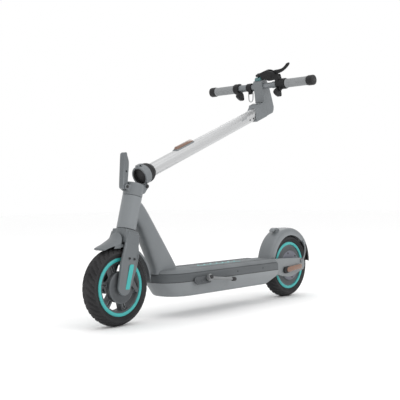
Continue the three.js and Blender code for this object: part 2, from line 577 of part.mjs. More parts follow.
// The cast head: a wide block that grips the stem, and a narrower neck that reaches forward to the bar.
function stemHead(stemRoom) {
  const bottom = 646;
  const top = 779;
  const blockSide = [[11, bottom], [28, bottom], [44, 655], [58, 677], [67, 686], [67, 716], [62, 722],
    [11, 716]];
  const neckSide = [[11, 690], [56, 690], [66, 722], [102, 730], [122, 733], [140, 736], [147, 743],
    [147, 762], [140, 772], [121, top], [56, top], [30, 778], [18, 772], [11, 762]];
  const grip = prismY(blockSide, -HEAD_BLOCK_HALF_WIDTH, HEAD_BLOCK_HALF_WIDTH, 4);
  const neck = prismY(neckSide, -HEAD_NECK_HALF_WIDTH, HEAD_NECK_HALF_WIDTH, 5);
  const stemSocket = rodZ(STEM_X, 0, stemRoom, bottom - 6, STEM_TOP + 6, 32);
  const barSeat = rodY(BAR_X, BAR_Z, BAR_RADIUS + GAP, -60, 60);
  const displaySeat = block(52, 118, -16, 16, top - 8, top + 20);
  const lensBottom = 690;
  const lensTop = 716;
  const lensSeat = block(63, 80, -18, 18, lensBottom, lensTop);
  const head = cut(joined(grip, neck), stemSocket, barSeat, displaySeat, lensSeat);
  add(stem, "stem_head", head, GREY_PAINT);
  const lens = block(63 + GAP, 68, GAP - 18, 18 - GAP, lensBottom + GAP, lensTop - GAP);
  add(stem, "headlight_lens", lens, LENS);
  const buttonX = 106;
  const buttonRadius = 5;
  const screenBottom = top - 8 + GAP;
  const buttonRoom = rodZ(buttonX, 0, buttonRadius + GAP, top - 12, top + 20, 20);
  const screen = cut(block(52.3, 117.7, -15.7, 15.7, screenBottom, top + 2), buttonRoom);
  add(stem, "display", screen, BLACK_PLASTIC);
  add(stem, "power_button", rodZ(buttonX, 0, buttonRadius, top - 6, top + 4, 20), BLACK_PLASTIC);
  const housingSide = [[147.3, 742], [156, 744], [159, 750], [159, 772], [155, 776], [147.3, 770]];
  add(stem, "front_housing", prismY(housingSide, -13, 14, 1.5), TEAL_GREY);
}

// ---------------------------------------------------------------- handlebar, in axes from the bar's centre
function cockpitParts() {
  const ends = BAR_HALF_LENGTH;
  const barBore = rodY(0, 0, 8.5, -ends - 5, ends + 5, 16);
  add(cockpit, "handlebar", cut(rodY(0, 0, BAR_RADIUS, -ends, ends), barBore), DARK_PAINT);
  const gripStart = 124;
  const gripEnd = 221;
  const room = BAR_RADIUS + GAP;
  const capEnd = ends + 4;
  const pivot = [-16, -14]; // of each thumb lever
  const paddleSide = [[-19, -7], [-10.5, -16], [-11.5, -35], [-19, -41], [-39, -26], [-44, -16], [-37, -8]];
  const mirrored = (body, side) => (side > 0 ? body : body.mirror([0, 1, 0]));
  for (const [word, side] of [["left", 1], ["right", -1]]) {
    const sleeve = ringY(16.5, room, gripStart, gripEnd, 24);
    const capWall = ringY(19, room, gripEnd + GAP, ends + 1, 24);
    const endCap = joined(capWall, rodY(0, 0, 19, ends + GAP, capEnd, 24));
    add(cockpit, `grip_${word}`, mirrored(sleeve, side), GRIP_RUBBER);
    add(cockpit, `bar_end_${word}`, mirrored(endCap, side), BLACK_PLASTIC);
    const lug = prismY(link(...pivot, 8, 0, 0, 13), 98, 103);
    const pivotHole = rodY(...pivot, 3.3, 97, 124, 14);
    const barHole = rodY(0, 0, room, 90, 130);
    const ring = cut(joined(rodY(0, 0, 18, 98, 123, 24), lug), barHole, pivotHole);
    add(cockpit, `thumb_ring_${word}`, mirrored(ring, side), BLACK_PLASTIC);
    const paddle = joined(prismY(paddleSide, 84, 97.6, 3), rodY(...pivot, 3, 96, 102.5, 14));
    add(cockpit, side > 0 ? "lights_lever" : "throttle_lever", mirrored(paddle, side), BLACK_PLASTIC);
  }
  brakeParts();
  hookParts();
}

function brakeParts() {
  const leverPivot = [34, 66];
  const bladeBottom = 2;
  const bladeTop = 14;
  const clampInner = 80;
  const clampOuter = 96;
  const clampRing = rodY(0, 0, 15.5, clampInner, clampOuter, 24);
  const bridge = prismY([[4, -12], [24, -8], [40, 0], [36, 15], [8, 14]], clampInner, clampOuter, 2);
  const bodySide = [[22, -4], [30, -8], [44, -4], [51, 4], [50, 14], [41, 19], [26, 17], [20, 8]];
  const body = prismY(bodySide, 36, clampInner + 3, 3);
  const adjuster = rodY(44, 11, 5.5, -8, 40, 14);
  const leverSlot = block(24, 80, 44, clampInner, bladeBottom - GAP, bladeTop + GAP);
  const leverWay = block(31, 80, clampInner - 1, 110, bladeBottom - GAP, bladeTop + GAP);
  const pivotHole = rodZ(...leverPivot, 3.3, -20, 30, 14);
  const barRoom = rodY(0, 0, BAR_RADIUS + GAP, 0, 100);
  const solidBracket = joined(clampRing, bridge, body, adjuster);
  add(cockpit, "brake_bracket", cut(solidBracket, barRoom, leverSlot, leverWay, pivotHole), BLACK_PLASTIC);
  const blade = [[27, 54], [38, 48], [48, 56], [51, 72], [54, 92], [62, 114], [70, 130], [76, 142],
    [75, 150], [68, 150], [60, 134], [50, 112], [42, 92], [36, 80], [27, 74]];
  const pin = rodZ(...leverPivot, 3, bladeBottom - 6, bladeTop + 4, 14);
  add(cockpit, "brake_lever", joined(prismZ(blade, bladeBottom, bladeTop), pin), BLACK_PLASTIC);
}

function hookParts() {
  const middle = -49;
  const eyeX = -20;
  const eyeZ = -5;
  const wire = 2;
  const clamp = rodY(0, 0, 16.5, middle - 11, middle + 11, 24);
  const lug = block(-24, -10, middle - 8, middle + 8, eyeZ - 6, eyeZ + 6);
  const bore = rodY(0, 0, BAR_RADIUS + GAP, -70, -30);
  const eyeHole = rodY(eyeX, eyeZ, wire + 0.4, -80, -20, 12);
  add(cockpit, "hook_clamp", cut(joined(clamp, lug), bore, eyeHole), BLACK_PLASTIC);
  const halfSpan = 10.5;
  const drop = 35;
  const lean = FOLD_ANGLE + RAKE; // the wire hangs plumb while the stem leans
  const hang = (depth, y) => [eyeX - depth * Math.sin(lean), y, eyeZ - depth * Math.cos(lean)];
  const corners = [hang(0, -halfSpan), hang(drop - 5, 2 - halfSpan), hang(drop, 5 - halfSpan),
    hang(drop, halfSpan - 5), hang(drop - 5, halfSpan - 2), hang(0, halfSpan)];
  const bow = bentRod(corners, wire, 16, 6).translate([0, middle, 0]);
  const eye = rodY(eyeX, eyeZ, wire, middle - halfSpan - 1.5, middle + halfSpan + 1.5, 8);
  add(cockpit, "hook_bail", joined(bow, eye), STEEL);
}

deck();
mainFrame();
rearEnd();
rearFender();
kickstand();
rearWheelParts();
frontWheelParts();
fork();
steeringColumn();
frontMudguard();
frontAxleAndBrake();
stemParts();
cockpitParts();

export default scooter;
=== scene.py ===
"""Looks of the folding electric kick scooter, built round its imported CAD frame. Lengths are millimetres."""
import json
import math

import bmesh
import bpy
from mathutils import Matrix, Vector


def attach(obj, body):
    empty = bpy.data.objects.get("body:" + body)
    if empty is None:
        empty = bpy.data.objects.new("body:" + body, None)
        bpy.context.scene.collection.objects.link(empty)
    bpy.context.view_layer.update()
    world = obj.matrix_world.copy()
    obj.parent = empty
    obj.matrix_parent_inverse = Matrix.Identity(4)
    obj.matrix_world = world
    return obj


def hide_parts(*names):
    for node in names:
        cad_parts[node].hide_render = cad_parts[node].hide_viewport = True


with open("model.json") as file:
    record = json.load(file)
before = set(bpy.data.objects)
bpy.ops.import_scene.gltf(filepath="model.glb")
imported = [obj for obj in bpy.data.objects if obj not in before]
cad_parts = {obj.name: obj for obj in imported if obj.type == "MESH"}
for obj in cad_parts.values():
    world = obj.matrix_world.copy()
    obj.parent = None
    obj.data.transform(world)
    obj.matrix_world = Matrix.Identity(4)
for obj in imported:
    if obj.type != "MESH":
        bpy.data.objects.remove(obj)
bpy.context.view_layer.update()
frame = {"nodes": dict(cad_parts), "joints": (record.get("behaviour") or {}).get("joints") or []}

# ---------------------------------------------------------------- the CAD's sizes, and axes from its joints
MM = 0.001
JOINTS = {joint["name"]: joint for joint in frame["joints"]}
WHEEL_RADIUS = 125.0
RING_OUTER = 92.7
RING_INNER = 82.0
TYRE_HALF_WIDTH = 29.0
DECK_HALF_WIDTH = 82.0
DECK_REAR = 150.0
DECK_FRONT = 755.0
# In the steering axes, which start at the front axle
CROWN_BOTTOM = 139.0
HEAD_TUBE_LOW = 187.0
HEAD_TUBE_TOP = 296.0
FOLD_BASE_TOP = 339.0
LOCK_PIVOT = (43, 318)
FOLD_HINGE = (-34, 340)
# In the stem axes, which start at the fold hinge
STEM_CENTRE = 34.0
STEM_HALF = 21.5
BAR_IN_STEM = (122.0, 751.0)
# In the bar axes
BAR_ROOM = 11.35
THUMB_PIVOT = (-16, -14)


def axes_at(place, z_axis):
    """A frame of axes in millimetres at a joint: Y stays the rider's left, and Z runs along z_axis."""
    z_axis = Vector(z_axis).normalized()
    x_axis = Vector((0, 1, 0)).cross(z_axis).normalized()
    rotation = Matrix((x_axis, Vector((0, 1, 0)), z_axis)).transposed().to_4x4()
    return Matrix.Translation(Vector(place)) @ rotation @ Matrix.Scale(MM, 4)


REAR = axes_at(JOINTS["rear_wheel_spin"]["pos_m"], (0, 0, 1)) @ Matrix.Translation((0, 0, -WHEEL_RADIUS))
STEERING = axes_at(JOINTS["steer"]["pos_m"], JOINTS["steer"]["axis"])
STEM_AXIS = -Vector(JOINTS["power_press"]["axis"])
STEM = axes_at(JOINTS["stem_fold"]["pos_m"], STEM_AXIS)
BAR = STEM @ Matrix.Translation((BAR_IN_STEM[0], 0, BAR_IN_STEM[1]))
REAR_WHEEL = REAR @ Matrix.Translation((0, 0, WHEEL_RADIUS))
STAND_TILT = math.radians(22)
STAND = REAR @ Matrix.Translation((573, DECK_HALF_WIDTH, 123)) @ Matrix.Rotation(STAND_TILT, 4, "X")
MIRROR = Matrix.Scale(-1, 4, (0, 1, 0))


# ---------------------------------------------------------------- materials
def shader(name):
    material = bpy.data.materials.new(name)
    material.use_nodes = True
    nodes = material.node_tree.nodes
    return material, nodes, material.node_tree.links, nodes["Principled BSDF"]


def noise(nodes, links, scale, detail, stretch=(1, 1, 1)):
    """A noise in object coordinates, which may be stretched along an axis."""
    place = nodes.new("ShaderNodeTexCoord")
    mapping = nodes.new("ShaderNodeMapping")
    mapping.inputs["Scale"].default_value = stretch
    links.new(place.outputs["Object"], mapping.inputs["Vector"])
    texture = nodes.new("ShaderNodeTexNoise")
    texture.inputs["Scale"].default_value = scale
    texture.inputs["Detail"].default_value = detail
    links.new(mapping.outputs["Vector"], texture.inputs["Vector"])
    return texture.outputs["Fac"]


def ramp(nodes, links, factor, low, high, start=0.3, end=0.7):
    blend = nodes.new("ShaderNodeValToRGB")
    blend.color_ramp.elements[0].position = start
    blend.color_ramp.elements[0].color = (*low, 1)
    blend.color_ramp.elements[1].position = end
    blend.color_ramp.elements[1].color = (*high, 1)
    links.new(factor, blend.inputs["Fac"])
    return blend.outputs["Color"]


def spread(nodes, links, factor, low, high):
    scale = nodes.new("ShaderNodeMapRange")
    scale.inputs["To Min"].default_value = low
    scale.inputs["To Max"].default_value = high
    links.new(factor, scale.inputs["Value"])
    return scale.outputs["Result"]


def roughen(nodes, links, bsdf, pattern, strength, depth):
    """Raises a fine relief from a pattern, over a depth in metres."""
    height = nodes.new("ShaderNodeBump")
    height.inputs["Strength"].default_value = strength
    height.inputs["Distance"].default_value = depth
    links.new(pattern, height.inputs["Height"])
    links.new(height.outputs["Normal"], bsdf.inputs["Normal"])


def surface(name, colour, roughness, metallic=0.0, grain=900.0, bump=0.15, varies=0.08, wear=0.0,
            coat=0.0, tint=None, shine=0.5, gloss_varies=0.07):
    """Paint, plastic, rubber or metal: cloudy colour, uneven gloss, a fine grain, and lighter worn edges."""
    material, nodes, links, bsdf = shader(name)
    bsdf.inputs["Metallic"].default_value = metallic
    bsdf.inputs["Coat Weight"].default_value = coat
    bsdf.inputs["Coat Roughness"].default_value = 0.25
    bsdf.inputs["Specular IOR Level"].default_value = shine
    dark = tuple(c * (1 - varies) for c in colour)
    light = tuple(min(1.0, c * (1 + varies)) for c in (tint or colour))
    cloud = noise(nodes, links, 14.0, 5.0)
    colour_out = ramp(nodes, links, cloud, dark, light)
    if wear:
        edge = nodes.new("ShaderNodeNewGeometry").outputs["Pointiness"]
        edge_mask = ramp(nodes, links, edge, (0, 0, 0), (1, 1, 1), 0.52, 0.6)
        mix = nodes.new("ShaderNodeMix")
        mix.data_type = "RGBA"
        mix.inputs["B"].default_value = (*(min(1.0, c * (1 + wear) + 0.02) for c in colour), 1)
        links.new(edge_mask, mix.inputs["Factor"])
        links.new(colour_out, mix.inputs["A"])
        colour_out = mix.outputs["Result"]
    links.new(colour_out, bsdf.inputs["Base Color"])
    fine = noise(nodes, links, grain, 3.0)
    smear = noise(nodes, links, 55.0, 4.0)
    uneven = spread(nodes, links, smear, roughness - gloss_varies, roughness + gloss_varies)
    links.new(uneven, bsdf.inputs["Roughness"])
    roughen(nodes, links, bsdf, fine, bump, 0.0004)
    return material


def prism_plastic(name, colour):
    """Reflector or lamp plastic with rows of small prisms under a glossy skin; the prisms' glint and shade
    are painted into its colour.
    """
    material, nodes, links, bsdf = shader(name)
    place = nodes.new("ShaderNodeTexCoord")
    cells = nodes.new("ShaderNodeTexVoronoi")
    cells.inputs["Scale"].default_value = 420
    cells.inputs["Randomness"].default_value = 0.0
    links.new(place.outputs["Object"], cells.inputs["Vector"])
    # Painted light and shade: each prism cell is painted lighter at its centre and darker towards its edges,
    # for the glint and shade of its facets.
    dark = tuple(c * 0.55 for c in colour)
    light = tuple(min(1.0, c * 1.45) for c in colour)
    shade = ramp(nodes, links, cells.outputs["Distance"], light, dark, 0.05, 0.75)
    links.new(shade, bsdf.inputs["Base Color"])
    bsdf.inputs["Roughness"].default_value = 0.16
    bsdf.inputs["Coat Weight"].default_value = 0.8
    bsdf.inputs["Coat Roughness"].default_value = 0.05
    roughen(nodes, links, bsdf, cells.outputs["Distance"], 0.35, 0.0005)
    return material


def clear_plastic(name, tint, clearness):
    """A smoky lens with faint ribs in its tint."""
    material, nodes, links, bsdf = shader(name)
    ribs = noise(nodes, links, 160.0, 2.0, (1, 6, 1))
    pale = tuple(c * 0.8 for c in tint)
    links.new(ramp(nodes, links, ribs, pale, tint, 0.35, 0.65), bsdf.inputs["Base Color"])
    bsdf.inputs["Roughness"].default_value = 0.08
    bsdf.inputs["Transmission Weight"].default_value = clearness
    bsdf.inputs["IOR"].default_value = 1.49
    return material


GREY = surface("grey_paint", (0.165, 0.178, 0.187), 0.46, 0.2, wear=0.3, coat=0.15, bump=0.1, varies=0.05)
GREY_DEEP = surface("deep_grey_paint", (0.125, 0.137, 0.145), 0.46, 0.2, wear=0.3, coat=0.15, bump=0.1,
                    varies=0.05)
GREY_LIGHT = surface("light_grey_paint", (0.205, 0.218, 0.226), 0.44, 0.2, wear=0.3, coat=0.15, bump=0.1,
                     varies=0.05)
MOTOR_GREY = surface("motor_grey", (0.155, 0.16, 0.19), 0.42, 0.4, grain=500, bump=0.15, varies=0.06)
TRAY = surface("tray_paint", (0.21, 0.224, 0.233), 0.5, 0.15, wear=0.25, coat=0.1, bump=0.12, varies=0.05)
BAND = surface("dark_band", (0.07, 0.077, 0.082), 0.6, 0.0, wear=0.3, bump=0.2, shine=0.4)
MAT = surface("deck_rubber", (0.148, 0.16, 0.167), 0.78, 0.0, grain=500, bump=0.5, varies=0.14)
SILVER = surface("brushed_silver", (0.52, 0.525, 0.53), 0.34, 0.75, grain=900, bump=0.02, varies=0.01,
                 gloss_varies=0.01)
STEEL = surface("plated_steel", (0.4, 0.405, 0.41), 0.34, 0.85, wear=0.3, varies=0.08)
ZINC = surface("dull_zinc", (0.21, 0.217, 0.222), 0.5, 0.5, wear=0.3, varies=0.1)
ALLOY = surface("cast_alloy", (0.085, 0.091, 0.097), 0.5, 0.5, grain=600, bump=0.3, wear=0.7)
BLACK = surface("black_plastic", (0.010, 0.010, 0.011), 0.5, 0.0, grain=1400, bump=0.3, wear=0.6, shine=0.28)
GLOSS_BLACK = surface("gloss_black", (0.01, 0.011, 0.012), 0.14, 0.0, bump=0.02, coat=0.6)
TURQUOISE = surface("turquoise_paint", (0.022, 0.34, 0.33), 0.42, 0.0, wear=0.25, coat=0.25, bump=0.06)
TURQUOISE_DARK = surface("turquoise_shade", (0.015, 0.16, 0.16), 0.5, 0.0, bump=0.1)
TYRE = surface("tyre_rubber", (0.019, 0.019, 0.021), 0.8, 0.0, grain=700, bump=0.5, varies=0.2, wear=1.2,
               tint=(0.03, 0.029, 0.03), shine=0.3)
GRIP = surface("grip_rubber", (0.26, 0.27, 0.277), 0.8, 0.0, grain=1100, bump=0.5, varies=0.06)
TEAL_CLEAR = surface("teal_cover", (0.055, 0.15, 0.155), 0.3, 0.0, coat=0.5, bump=0.04)
AMBER = prism_plastic("amber_prisms", (0.17, 0.07, 0.032))
RED = prism_plastic("red_prisms", (0.30, 0.01, 0.01))
LENS = clear_plastic("clear_lens", (0.3, 0.32, 0.33), 0.35)


# ---------------------------------------------------------------- mesh building, in local millimetres
def arc(cx, cz, radius, start, stop, steps):
    """Points of a round stretch between two angles in degrees."""
    angles = [math.radians(start + (stop - start) * i / steps) for i in range(steps + 1)]
    return [(cx + radius * math.cos(a), cz + radius * math.sin(a)) for a in angles]


def around(radius, count, first=0.0, at=(0, 0)):
    """Places spaced evenly round a circle, starting a part of a step past zero."""
    angles = [2 * math.pi * (i + first) / count for i in range(count)]
    return [(at[0] + radius * math.cos(angle), at[1] + radius * math.sin(angle)) for angle in angles]


def link_outline(x0, z0, r0, x1, z1, r1, steps=12):
    """Two round ends and the straight sides between them."""
    turn = math.degrees(math.atan2(z1 - z0, x1 - x0))
    return arc(x0, z0, r0, turn + 90, turn + 270, steps) + arc(x1, z1, r1, turn - 90, turn + 90, steps)


def curve_through(p0, p1, p2, p3, cuts):
    """Points of the smooth curve from p1 up to p2, with p0 and p3 as its neighbours."""
    result = []
    for k in range(cuts):
        t = k / cuts
        result.append(0.5 * (2 * p1 + (p2 - p0) * t + (2 * p0 - 5 * p1 + 4 * p2 - p3) * t * t
                             + (3 * p1 - p0 - 3 * p2 + p3) * t ** 3))
    return result


def smooth_outline(points, cuts=6):
    """A closed curve through a few points."""
    result = []
    for i in range(len(points)):
        near = [Vector(points[(i + k - 1) % len(points)]) for k in range(4)]
        result += curve_through(*near, cuts)
    return result


def smooth_path(points, cuts=8):
    """An open curve through a few points, as a list of vectors."""
    padded = [Vector(point) for point in (points[0], *points, points[-1])]
    result = []
    for i in range(len(points) - 1):
        result += curve_through(*padded[i:i + 4], cuts)
    return [*result, padded[-1]]


def loft(rings, closed=False):
    """Skins a list of closed rings. The ends are capped, or joined to each other when closed."""
    mesh = bmesh.new()
    rows = [[mesh.verts.new(point) for point in ring] for ring in rings]
    count = len(rows[0])
    pairs = list(zip(rows, rows[1:])) + ([(rows[-1], rows[0])] if closed else [])
    for low, high in pairs:
        for i in range(count):
            j = (i + 1) % count
            mesh.faces.new((low[i], low[j], high[j], high[i]))
    if not closed:
        mesh.faces.new(rows[0][::-1])
        mesh.faces.new(rows[-1])
    bmesh.ops.recalc_face_normals(mesh, faces=mesh.faces)
    return mesh


def lathe(profile, axis="Y", segments=96):
    """Turns a closed (radius, height) profile about an axis."""
    rings = []
    for i in range(segments):
        angle = 2 * math.pi * i / segments
        across, up = math.cos(angle), math.sin(angle)
        if axis == "Y":
            rings.append([(r * across, h, r * up) for r, h in profile])
        else:
            rings.append([(r * across, r * up, h) for r, h in profile])
    return loft(rings, closed=True)


def rod(radius, low, high, axis="Y", at=(0, 0), segments=40, edge=0.8, bore=0.05):
    """A round bar or disc along Y or Z with broken edges; `at` is its centre in the other two axes."""
    profile = [(bore, low), (radius - edge, low), (radius, low + edge), (radius, high - edge),
               (radius - edge, high), (bore, high)]
    mesh = lathe(profile, axis, segments)
    shift = (at[0], 0, at[1]) if axis == "Y" else (at[0], at[1], 0)
    bmesh.ops.translate(mesh, vec=shift, verts=mesh.verts)
    return mesh


def prism(outline, low, high, along="Y"):
    """Stands a flat outline between two places along an axis."""
    rings = []
    for level in (low, high):
        if along == "X":
            rings.append([(level, a, b) for a, b in outline])
        elif along == "Y":
            rings.append([(a, level, b) for a, b in outline])
        else:
            rings.append([(a, b, level) for a, b in outline])
    return loft(rings)


def twins(make, base, low, high, **options):
    """The same rod or prism on both sides of the middle."""
    return [make(base, low, high, **options), make(base, -high, -low, **options)]


def block(x0, x1, y0, y1, z0, z1):
    return prism([(x0, y0), (x1, y0), (x1, y1), (x0, y1)], z0, z1, "Z")


def sweep(path, radius, sides=12, side_way=(0, 1, 0)):
    """A round bar along a path; radius may be a function of the distance along, from 0 to 1."""
    rings = []
    side_way = Vector(side_way)
    for i, point in enumerate(path):
        ahead = (path[min(i + 1, len(path) - 1)] - path[max(i - 1, 0)]).normalized()
        side = (side_way - ahead * side_way.dot(ahead)).normalized()
        up = side.cross(ahead)
        size = radius(i / (len(path) - 1)) if callable(radius) else radius
        ring = []
        for k in range(sides):
            angle = 2 * math.pi * k / sides
            ring.append(point + side * (size * math.cos(angle)) + up * (size * math.sin(angle)))
        rings.append(ring)
    return loft(rings)


def merged(*meshes):
    """Several meshes in one, for the small fittings of one piece or for casting."""
    result = bmesh.new()
    for mesh in meshes:
        scratch = bpy.data.meshes.new("scratch")
        mesh.to_mesh(scratch)
        result.from_mesh(scratch)
        bpy.data.meshes.remove(scratch)
    return result


def moved(mesh, matrix):
    bmesh.ops.transform(mesh, matrix=matrix, verts=mesh.verts)
    if matrix.determinant() < 0:
        bmesh.ops.reverse_faces(mesh, faces=mesh.faces)
    return mesh


def cut(obj, *cutters):
    """Takes shapes given in the object's own space out of it."""
    for mesh in cutters:
        data = bpy.data.meshes.new("cutter")
        mesh.to_mesh(data)
        tool = bpy.data.objects.new("cutter", data)
        bpy.context.scene.collection.objects.link(tool)
        modifier = obj.modifiers.new("cut", "BOOLEAN")
        modifier.operation = "DIFFERENCE"
        modifier.solver = "EXACT"
        modifier.object = tool
        freeze(obj)
        bpy.data.objects.remove(tool)


def freeze(obj):
    """Applies an object's modifiers to its mesh."""
    bpy.context.view_layer.update()
    graph = bpy.context.evaluated_depsgraph_get()
    data = bpy.data.meshes.new_from_object(obj.evaluated_get(graph))
    obj.modifiers.clear()
    obj.data = data


def finish_edges(obj, bevel, segments, angle):
    if bevel:
        modifier = obj.modifiers.new("edges", "BEVEL")
        modifier.width = bevel * MM
        modifier.segments = segments
        modifier.limit_method = "ANGLE"
        modifier.angle_limit = math.radians(angle)
        freeze(obj)
    obj.data.shade_smooth()
    obj.data.set_sharp_from_angle(angle=math.radians(angle))


def piece(name, mesh, where, body, material, *nodes, bevel=0.0, segments=3, angle=38, cast=0.0, relax=6,
          cuts=()):
    """Makes one visible piece riding on a body; with `cast`, its meshes melt together at that grain."""
    data = bpy.data.meshes.new(name)
    mesh.to_mesh(data)
    data.transform(where)
    if where.determinant() < 0:
        data.flip_normals()
    obj = bpy.data.objects.new(name, data)
    bpy.context.scene.collection.objects.link(obj)
    if cast:
        remesh = obj.modifiers.new("cast", "REMESH")
        remesh.mode = "VOXEL"
        remesh.voxel_size = cast * MM
        relaxing = obj.modifiers.new("relax", "SMOOTH")
        relaxing.factor = 0.5
        relaxing.iterations = relax
        freeze(obj)
    if cuts:
        cut(obj, *(moved(cutter, where) for cutter in cuts))
    obj.data.materials.clear()
    obj.data.materials.append(material)
    finish_edges(obj, bevel, segments, angle)
    if cast:
        obj.data.shade_smooth()
    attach(obj, body)
    if nodes:
        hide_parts(*nodes)
    return obj


def paint_nodes(material, *names):
    """Keeps the shapes of CAD nodes and gives them a worked material."""
    for name in names:
        data = frame["nodes"][name].data
        data.materials.clear()
        data.materials.append(material)


def both_sides(build):
    for side, flip in (("left", Matrix.Identity(4)), ("right", MIRROR)):
        build(side, flip)


# ---------------------------------------------------------------- wheels
def tyre_mesh():
    """Tyre with slanted tread grooves and a fine centre line cut into its crown."""
    rows, columns = 30, 288
    pitch_count = 36
    groove_depth = 2.8
    bead_turn = 0.16
    bead_radius = 93.2
    section_centre, section_radius = 106.0, 19.0
    rings = []
    for k in range(rows):
        s = bead_turn + (1 - 2 * bead_turn) * k / (rows - 1)
        turn = 2 * math.pi * s - math.pi
        squash = 1.0 if abs(turn) < math.pi / 2 else 0.92
        across = TYRE_HALF_WIDTH * math.sin(turn) * squash
        radial = section_centre + section_radius * math.cos(turn)
        side = abs(across) / TYRE_HALF_WIDTH
        grooved = radial > section_centre and 0.16 < side < 0.94
        centre_line = 1.4 if side < 0.05 and radial > section_centre else 0.0
        ring = []
        for i, (x, z) in enumerate(around(1.0, columns)):
            phase = (i * pitch_count / columns + 1.5 * side) % 1.0
            groove = groove_depth if grooved and phase < 0.32 else 0.0
            radius = radial - groove - centre_line
            ring.append((radius * x, across, radius * z))
        rings.append(ring)
    bead = around(bead_radius, columns)
    low = [(x, rings[0][0][1], z) for x, z in bead]
    high = [(x, rings[-1][0][1], z) for x, z in bead]
    return loft([*rings, high, low], closed=True)


def wheel_ring():
    lip = 2.6
    profile = [(RING_INNER, -24.5), (RING_INNER + lip, -26), (RING_OUTER - lip, -26), (RING_OUTER, -24),
               (RING_OUTER, 24), (RING_OUTER - lip, 26), (RING_INNER + lip, 26), (RING_INNER, 24.5)]
    return lathe(profile, segments=128)


def front_wheel():
    piece("front_tyre_tread", tyre_mesh(), STEERING, "front_wheel", TYRE, "front_tyre", angle=24)
    piece("front_ring_band", wheel_ring(), STEERING, "front_wheel", TURQUOISE, "front_wheel_ring")
    band = lathe([(76, -22), (77.5, -23.5), (81.6, -23.5), (81.6, 23.5), (77.5, 23.5), (76, 22), (78.2, 14),
                  (78.2, -14)], segments=128)
    drum = lathe([(9.4, -29), (24, -29), (26, -27), (26, 6), (47, 6), (50, 8.5), (50, 22), (51.5, 23.5),
                  (50.5, 25.3), (9.4, 25.3)], segments=96)
    spoke_side = [(-13, 22), (-10, 50), (-13, 78), (13, 78), (10, 50), (13, 22)]
    spoke_count = 6
    first_spoke = 215.7
    spokes = []
    recesses = []
    pocket_highlight_rims = []
    insides = []
    for i in range(spoke_count):
        turn = Matrix.Rotation(math.radians(first_spoke + 360 * i / spoke_count), 4, "Y")
        spokes.append(moved(prism(spoke_side, -10, 12), turn))
        for low, high, start in ((9.2, 20, 56), (-20, -7.2, 36)):
            recesses.append(moved(prism(link_outline(0, start, 3.6, 0, 70, 3.6, 6), low, high), turn))
        # Painted highlight: a thin rim of lighter zinc round each spoke pocket stands for the bright lip of
        # the pocket.
        pocket_highlight_rims.append(moved(prism(link_outline(0, 55, 5.4, 0, 71, 5.0, 8), 11.4, 12.9), turn))
        insides.append(moved(prism(link_outline(0, 55, 4.0, 0, 71, 3.6, 8), 9, 15), turn))
    piece("front_rim_casting", merged(band, drum, *spokes), STEERING, "front_wheel", ALLOY,
          "front_wheel_rim", cast=1.3, relax=3, cuts=recesses)
    # The lighter pocket rims are a painted highlight, not a separate metal.
    piece("spoke_pocket_painted_highlights", merged(*pocket_highlight_rims), STEERING, "front_wheel", ZINC, cuts=[merged(*insides)])
    bolts = [rod(2.4, -31, -28.6, at=spot, segments=16, edge=0.4) for spot in around(19, 8, 0.5)]
    piece("hub_bolts", merged(*bolts), STEERING, "front_wheel", STEEL)
    valve_path = [Vector((0, -4, 77)), Vector((0, -9, 66)), Vector((0, -12, 58))]
    piece("front_valve", sweep(smooth_path(valve_path, 4), 2.6, 14), STEERING, "front_wheel", BLACK)


def brake_drum():
    half_section = [(6.4, 25.8), (50, 25.8), (52, 27), (52, 29), (50, 30.4), (40, 30.6), (38, 31.4),
                    (16, 31.4), (13, 33), (6.4, 33)]
    piece("drum_backplate", lathe(half_section), STEERING, "steering", ALLOY, "brake_plate")
    arm = merged(prism(link_outline(-38, 22, 9, -62, 2, 6), 32, 35.2), rod(5, 26, 35.4, at=(-38, 22)))
    piece("brake_cam_arm", arm, STEERING, "brake_cam", ALLOY, "brake_arm", bevel=0.5)


def flipped(profile):
    """A lathe profile seen from the other side of the wheel."""
    return [(radius, -height) for radius, height in reversed(profile)]


def rear_wheel():
    piece("rear_tyre_tread", tyre_mesh(), REAR_WHEEL, "rear_wheel", TYRE, "rear_tyre", angle=24)
    piece("rear_ring_band", wheel_ring(), REAR_WHEEL, "rear_wheel", TURQUOISE, "rear_wheel_ring")
    half = [(6.4, 31.8), (17, 31.8), (20, 30), (22, 28.6), (58, 27.4), (61, 26.2), (63, 24), (69, 23.4),
            (73, 22), (81.6, 21)]
    casing = lathe([*half, *flipped(half)], segments=128)
    piece("motor_casing", casing, REAR_WHEEL, "rear_wheel", ALLOY, "rear_hub_motor", angle=30)
    face = [(20.5, 27.6), (57, 26.8), (58.5, 27.6), (57.6, 28.5), (24, 29.6), (20.5, 29.4)]
    faces = [lathe(profile, segments=128) for profile in (face, flipped(face))]
    piece("motor_side_faces", merged(*faces), REAR_WHEEL, "rear_wheel", MOTOR_GREY, angle=30)
    screws = []
    for spot in around(50, 6, 0.25):
        screws += twins(rod, 3.4, 26.6, 29.7, at=spot, segments=18, edge=0.6, bore=1.3)
    piece("motor_screws", merged(*screws), REAR_WHEEL, "rear_wheel", BLACK)


# ---------------------------------------------------------------- deck
def deck_outline(inset):
    """Plan of the deck with a full rounded nose, in rear axes."""
    nose_length = 110.0
    roundness = 0.8
    steps = 40
    half = DECK_HALF_WIDTH - inset
    points = []
    for i in range(steps + 1):
        angle = math.radians(90 - 180 * i / steps)
        along = abs(math.cos(angle)) ** roundness
        side = math.copysign(abs(math.sin(angle)) ** roundness, math.sin(angle))
        points.append((DECK_FRONT - inset - nose_length + nose_length * along, half * side))
    rear = DECK_REAR + inset * 0.5
    points.append((rear + 3, -half))
    points += [(rear, -half * share) for share in (0.96, 0.6, 0.2, -0.2, -0.6, -0.96)]
    return [*points, (rear + 3, half)]


def at_height(outline, z):
    return [(x, y, z) for x, y in outline]


